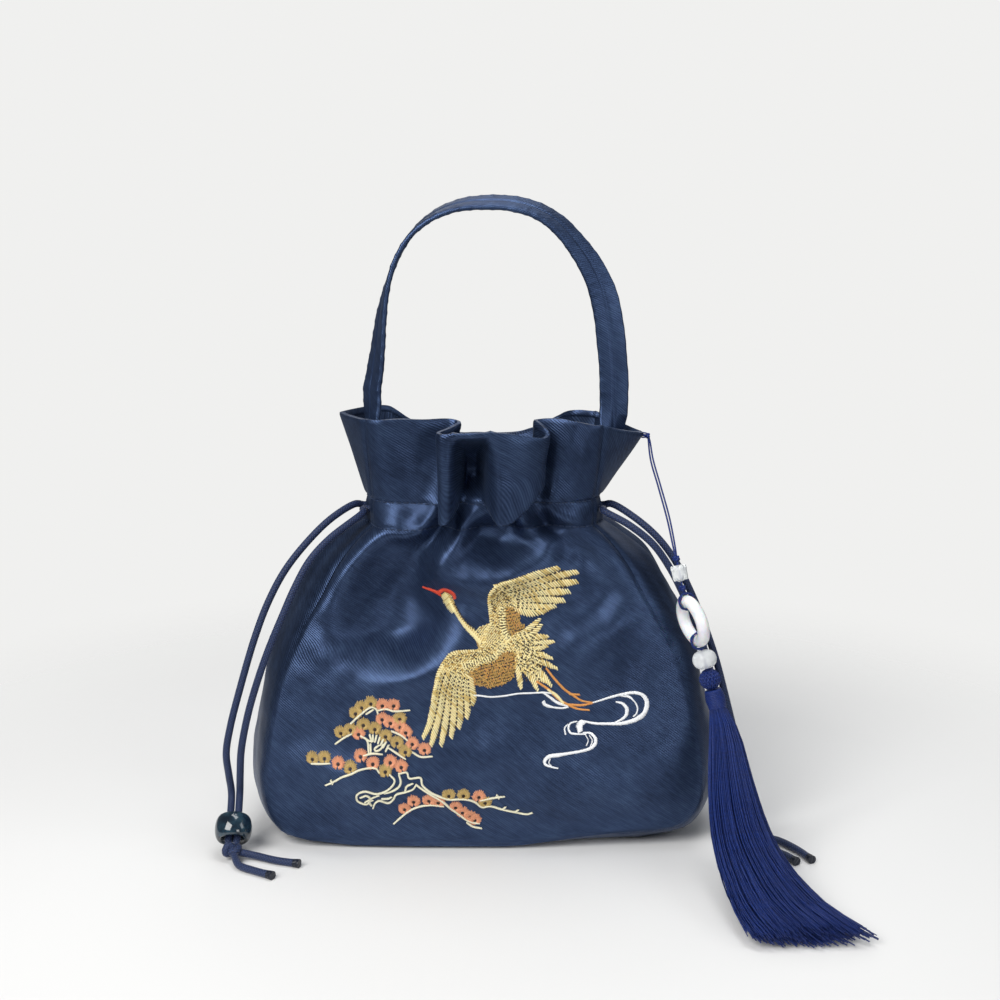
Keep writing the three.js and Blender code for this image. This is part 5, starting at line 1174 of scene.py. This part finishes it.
# The strap takes the brightened satin copy, whose extra brightness is painted light.
strapPiece = makeMesh("handleStrap", points, faces, uvs, satinStrapPaintedLight, None)
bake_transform(strapPiece)
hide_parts("handle_strap", "left_handle_end", "right_handle_end")
print("handle done")


# Pendant: two fine cords, beads, a white ring and a tassel
seat = {part: np.array(place, float) for part, place in {
    "tack": (79.8, 0, 193.5), "cordStart": (80.3, 0, 191.7), "upperKnot": (90.3, -38.4, 141.6),
    "lotus": (91.70, -40.08, 134.95), "lowerKnot": (93.10, -41.76, 128.30), "ring": (98.0137, -43.3978, 112.7401),
    "bead": (103.677, -45.285, 94.808), "head": (106.333, -46.564, 85.461), "neck": (108.989, -47.843, 76.115),
}.items()}
charm = {"bends": [(81.2, -7, 183), (84, -16, 172), (87.4, -28, 158)], "apart": (0.62, 0.3, 0.1), "thread": 0.42,
         "beadThread": 0.5, "knotRadius": 2.0, "knotThread": 0.6, "ringRadius": 9.8, "ringSection": 2.9,
         "loopRadius": 3.8, "headRadius": 5.0, "neckRadius": 4.5, "neckHeight": 9, "neckTurns": 11}
fallUpper, fall = unit((0.2, -0.24, -0.95)), unit((0.27, -0.13, -0.95))
ringAxis, ringDown = unit((-0.90674, -0.33911, -0.25064)), unit((0.29963, -0.09988, -0.94881))
loopReach = ringDown * (charm["ringRadius"] + charm["loopRadius"])

tackParts = [knotParts(1.5, 0.5, seat["tack"], (1, 0, 0))]
t = np.linspace(0, fullTurn, 30)
for k in (-1, 0, 1):  # its thread goes round the collar's corner
    wrap = np.stack([77.7 + 2.2 * np.cos(t), 0.5 * k + 0.15 * np.sin(t), 193.9 + 1.1 * np.sin(t)], 1)
    tackParts.append(tubeParts(wrap, 0.3, 8, ends=False))
tackParts.append(tubeParts([(75.9, 0, 194.1), (77.6, 0, 193.9), seat["tack"] + (0.4, 0, 0)], 0.6, 8))
makeMesh("pendantTack", *joined(tackParts), silkThread, "bag", "pendant_tack")
pendantKnots = [tieKnot(which + "PendantKnot", charm["knotRadius"], charm["knotThread"], seat[which + "Knot"],
                        fallUpper, silkThread, "pendant", which + "_pendant_knot") for which in ("upper", "lower")]

# Lotus bead: a core and two rows of petals, fused
lotusForm = {"core": (3.7, 3.7, 4.0), "petal": (1.1, 1.65, 2.7), "petals": 6, "outwards": 2.6, "tilt": 12,
             "voxel": 0.26, "soften": 3}
deselect()
bpy.ops.mesh.primitive_uv_sphere_add(segments=16, ring_count=10, radius=1 * mm)
lotus = bpy.context.object
bpy.ops.object.mode_set(mode="EDIT")
bpy.ops.mesh.select_all(action="SELECT")
bpy.ops.transform.resize(value=lotusForm["core"])
for way, height, start in ((1, 0.9, 0), (-1, -1.3, 0.5)):
    lean = Matrix.Rotation(math.radians(lotusForm["tilt"]) * way, 3, "Y")
    for k in range(lotusForm["petals"]):
        bpy.ops.mesh.select_all(action="DESELECT")
        bpy.ops.mesh.primitive_uv_sphere_add(segments=12, ring_count=8, radius=1 * mm, location=(0, 0, 0))
        bpy.ops.transform.resize(value=lotusForm["petal"])
        spin = Matrix.Rotation(fullTurn * (k + start) / lotusForm["petals"], 3, "Z")
        for v in bmesh.from_edit_mesh(lotus.data).verts:
            if v.select:
                v.co = spin @ (lean @ v.co + Vector((lotusForm["outwards"], 0, height)) * mm)
        bmesh.update_edit_mesh(lotus.data)
bpy.ops.object.mode_set(mode="OBJECT")
applied(lotus, "REMESH", mode="VOXEL", voxel_size=lotusForm["voxel"] * mm)
applied(lotus, "SMOOTH", iterations=lotusForm["soften"])
placed(lotus, "lotusBead", seat["lotus"], fallUpper, frostBead, "pendant", "lotus_bead")
threadLine = [seat["upperKnot"], seat["lotus"], seat["lowerKnot"], seat["ring"] - loopReach]
tube("beadThread", smoothPath(threadLine, 30), charm["beadThread"], 10, silkThread, "pendant")

# White ring, and the two loops of thread through it
deselect()
bpy.ops.mesh.primitive_torus_add(major_segments=96, minor_segments=32, major_radius=charm["ringRadius"] * mm,
                                 minor_radius=charm["ringSection"] * mm)
placed(bpy.context.object, "jadeRing", seat["ring"], ringAxis, whiteJade, "ring", "jade_ring")
ringAside = np.array([0.3, -0.95, 0.2])
ringAside = unit(ringAside - ringDown * np.dot(ringAside, ringDown))
other = unit(np.cross(ringAside, ringDown))
t = np.linspace(0, fullTurn, 64)[:, None]
for which, way, body in (("upper", -1, "pendant"), ("lower", 1, "tassel")):
    parts = []
    for phase, sway in ((0, -0.48), (math.pi, 0.48)):
        wind = charm["loopRadius"] + 0.16 * np.sin(5 * t + phase)
        path = (seat["ring"] + ringDown * charm["ringRadius"] * way
                + np.cos(t) * ringDown * wind + np.sin(t) * other * wind + ringAside * sway)
        parts.append(tubeParts(path, charm["thread"], 8, ends=False))
    makeMesh(which + "RingLoop", *joined(parts), silkThread, body, which + "_ring_loop")

# Lower bead: a profile (radius, height) drawn up and turned
profile = [(1.1, -4.5), (3.4, -4.1), (5.0, -2.9), (5.75, -1.0), (5.8, 0.6), (5.3, 2.4), (3.9, 3.8), (1.1, 4.5)]
bpy.ops.mesh.primitive_circle_add(vertices=40, radius=profile[0][0] * mm, fill_type="NGON",
                                  location=(0, 0, profile[0][1] * mm))
lowerBead = bpy.context.object
bpy.ops.object.transform_apply(location=True)


def drawUp():
    for (r0, z0), (r1, z1) in zip(profile, profile[1:]):
        bpy.ops.mesh.extrude_region_move(TRANSFORM_OT_translate={"value": (0, 0, (z1 - z0) * mm)})
        bpy.ops.transform.resize(value=(r1 / r0, r1 / r0, 1), center_override=(0, 0, z1 * mm))
    bpy.ops.mesh.select_all(action="SELECT")
    bpy.ops.mesh.normals_make_consistent(inside=False)


inEditMode(drawUp)
applied(lowerBead, "SUBSURF", levels=2, render_levels=2)
placed(lowerBead, "lowerBead", seat["bead"], -fall, frostBead, "tassel", "lower_bead")
tube("lowerBeadThread", smoothPath([seat["ring"] + loopReach, seat["bead"], seat["head"]], 20), charm["beadThread"],
     10, silkThread, "tassel")

# Crocheted head: a closed core inside rows of stitches
crochet = {"sunk": 0.7, "rows": range(-80, 81, 20), "wide": 1.55, "thread": 0.42}
core, headUp = charm["headRadius"] - crochet["sunk"], -fall
sideA = unit(np.cross(headUp, [0, 1, 0]))
sideB = np.cross(headUp, sideA)
ballParts = []
for row, tilt in enumerate(crochet["rows"]):
    tilt = math.radians(tilt)
    count = max(4, int(round(fullTurn * core * math.cos(tilt) / crochet["wide"])))
    for k in range(count):
        a = fullTurn * (k + 0.5 * (row % 2)) / count
        outward = (math.cos(a) * sideA + math.sin(a) * sideB) * math.cos(tilt) + headUp * math.sin(tilt)
        around = -math.sin(a) * sideA + math.cos(a) * sideB
        upward, at = np.cross(outward, around), seat["head"] + outward * core
        for way in (-1, 1):
            leg = [at - upward * 1.0 - outward * 0.2, at + around * 0.45 * way + outward * 0.45,
                   at + around * 0.72 * way + upward * 1.0 - outward * 0.1]
            ballParts.append(tubeParts(smoothPath(leg, 6), crochet["thread"], 5))
deselect()
bpy.ops.mesh.primitive_uv_sphere_add(segments=32, ring_count=20, radius=(core + 0.1) * mm)
placed(bpy.context.object, "tasselHeadCore", seat["head"], headUp, silkThread, "tassel")
makeMesh("tasselHead", *joined(ballParts), silkThread, "tassel", "tassel_head")

# Neck: thread wound round the gathered strands
wound = np.linspace(-0.5, 0.5, 520)[:, None]
spin = fullTurn * charm["neckTurns"] * (wound + 0.5)
swelling = charm["neckRadius"] - 0.45 + 0.25 * np.cos(wound * fullTurn)
winding = (seat["neck"] + fall * (wound * (charm["neckHeight"] - 0.8))
           + (np.cos(spin) * sideA + np.sin(spin) * sideB) * swelling)
neckCore = smoothPath([seat["neck"] - fall * 4.6, seat["neck"], seat["neck"] + fall * 5.2], 9)
neckParts = [tubeParts(winding, 0.46, 7), tubeParts(neckCore, charm["neckRadius"] - 0.55, 24)]
makeMesh("tasselNeck", *joined(neckParts), silkThread, "tassel", "tassel_neck")

# Skirt: loose strands that spread and come to rest on the floor, at stations (x, y, z, half as wide, half as thick)
tassel = {"strands": 720, "radius": 0.30, "steps": 15, "aside": (1, 0.08, 0), "stations": [
    (110.290, -48.470, 71.538, 4.3, 4.3), (112.6, -54, 62, 7.4, 7), (114.2, -62, 46, 10, 8.5),
    (115.6, -75, 31, 12.5, 9), (117.8, -91, 20.5, 14.5, 8.5), (122, -108, 13.5, 17, 7.5),
    (128.5, -125, 8.4, 21, 5.6), (136, -137, 5.6, 25, 4.6), (141, -144, 4.2, 27, 3.6)]}
stations = np.array(tassel["stations"], float)
spine = smoothPath(stations[:, :3], 90)
halfWide, halfThick = (np.interp(lengths(spine), runAt(spine, stations[:, :3]), stations[:, k]) for k in (3, 4))
asideWay = unit(tassel["aside"])
spineUp = unit(np.cross(unit(np.gradient(spine, axis=0)), asideWay))
spineUp = spineUp * np.sign(spineUp[0, 2] if abs(spineUp[0, 2]) > abs(spineUp[0, 1]) else -spineUp[0, 1])
strandParts = []
for _ in range(tassel["strands"]):
    angle, reach = rng.uniform(0, fullTurn), math.sqrt(rng.uniform(0.0, 1)) ** 0.8
    u, w = reach * math.cos(angle), reach * math.sin(angle)
    last = int(len(spine) * min(1, 0.965 + rng.normal(0, 0.018)))
    at = np.linspace(0, last - 1, tassel["steps"]).astype(int)
    drift, lift = rng.normal(0, 0.05, 2), rng.uniform(0, fullTurn, 2)
    t = at / len(spine)
    du = u + drift[0] * np.sin(t * 5 + lift[0]) * t + rng.normal(0, 0.012, len(at)) * t
    dw = w + drift[1] * np.sin(t * 4 + lift[1]) * t + rng.normal(0, 0.012, len(at)) * t
    path = (spine[at] + asideWay * (du * (halfWide[at] - 0.3))[:, None]
            + spineUp[at] * (dw * (halfThick[at] - 0.3))[:, None])
    path[:, 2] = np.maximum(path[:, 2], tassel["radius"] * 1.1 + rng.uniform(0, 0.5))
    strandParts.append(tubeParts(path, tassel["radius"] * rng.uniform(0.8, 1.15), 3))
coreRadius = np.interp(np.linspace(0, 1, 24), [0, 0.3, 1], [3.2, 4.6, 4.2])
strandParts.append(tubeParts(smoothPath(stations[:5, :3], 24), coreRadius, 20))
makeMesh("tasselSkirt", *joined(strandParts), silkThread, "tassel", "tassel_skirt")

for which, way, nodes, carried in (("left", -1, ["pendant_cord"], pendantKnots[:1]), ("right", 1, [], [])):
    apart = np.array(charm["apart"]) * way
    path = smoothPath([seat["tack"], seat["cordStart"] + apart * 0.5, *(np.array(charm["bends"]) + apart),
                       seat["upperKnot"] - fallUpper * 2.0 + apart * 0.5, seat["upperKnot"]], 70)
    cordPiece = tube(which + "PendantCord", path, charm["thread"], 8, silkThread, "pendant", *nodes)
    looseCord(cordPiece, path, "tassel_silk", 2 * charm["thread"], lengths(path)[-1], "knot", *carried)
print("pendant done")


# Floor, backdrop and light; the floor fades out into the backdrop
studio = {"floor": (0.80, 0.80, 0.795), "background": (0.872, 0.872, 0.862), "reach": 0.18, "fade": 0.48,
          "sky": (0.90, 0.94, 1.0), "skyStrength": 0.14}
bpy.ops.mesh.primitive_circle_add(vertices=96, radius=4, fill_type="NGON", location=(0, 0, 0))
floor = bpy.context.object
floor.name = "floor"
paleFloor, tree = newMaterial("paleFloor", Roughness=0.6, Base_Color=(*studio["floor"], 1))
far = add(tree, "VectorMath", {"operation": "LENGTH"}, "Value", i0=add(tree, "TexCoord"))
fade = add(tree, "MapRange", {"interpolation_type": "SMOOTHSTEP"}, Value=far, From_Min=studio["reach"],
           From_Max=studio["fade"])
solid, clear = tree.nodes["Principled BSDF"].outputs["BSDF"], add(tree, "BsdfTransparent")
feed(tree, tree.nodes["Material Output"], Surface=add(tree, "MixShader", Fac=fade, i1=solid, i2=clear))
floor.data.materials.append(paleFloor)

world = bpy.data.worlds.new("studioWorld")
bpy.context.scene.world = world
world.use_nodes = True
tree = world.node_tree
light = tree.nodes["Background"]
feed(tree, light, Color=(*studio["sky"], 1), Strength=studio["skyStrength"])
shown = add(tree, "Background", Color=(*studio["background"], 1), Strength=1.0)
rays = tree.nodes.new("ShaderNodeLightPath").outputs
seen = add(tree, "Math", {"operation": "MAXIMUM"}, i0=rays["Is Camera Ray"], i1=rays["Is Transmission Ray"])
sky = add(tree, "MixShader", Fac=seen, i1=light.outputs["Background"], i2=shown)
feed(tree, tree.nodes["World Output"], Surface=sky)


def softLight(name, place, aim, size, power, colour=(1, 1, 1)):
    data = bpy.data.lights.new(name, "AREA")
    data.shape = "RECTANGLE"
    data.size, data.size_y = size
    data.energy = power
    data.color = colour
    lamp = bpy.data.objects.new(name, data)
    lamp.location = place
    lamp.rotation_euler = (Vector(aim) - Vector(place)).to_track_quat("-Z", "Y").to_euler()
    bpy.context.scene.collection.objects.link(lamp)


softLight("keyLight", (-0.65, -0.95, 1.0), (0, 0, 0.12), (0.90, 0.90), 22.0, (1.0, 0.99, 0.97))
softLight("topLight", (0.1, 0.15, 1.35), (0, 0, 0.1), (0.8, 0.5), 6.5)
softLight("frontLight", (0.80, -1.15, 0.42), (0, 0, 0.15), (0.45, 0.45), 3.4)
softLight("rightLight", (1.2, -0.3, 0.8), (0, 0, 0.12), (0.4, 0.6), 2.0, (0.94, 0.97, 1.0))
softLight("backLight", (0.2, 1.2, 0.9), (0, 0, 0.15), (1.2, 0.8), 3.0)
bpy.context.scene.view_settings.view_transform = "Standard"


def finishScene():
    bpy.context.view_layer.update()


finishScene()
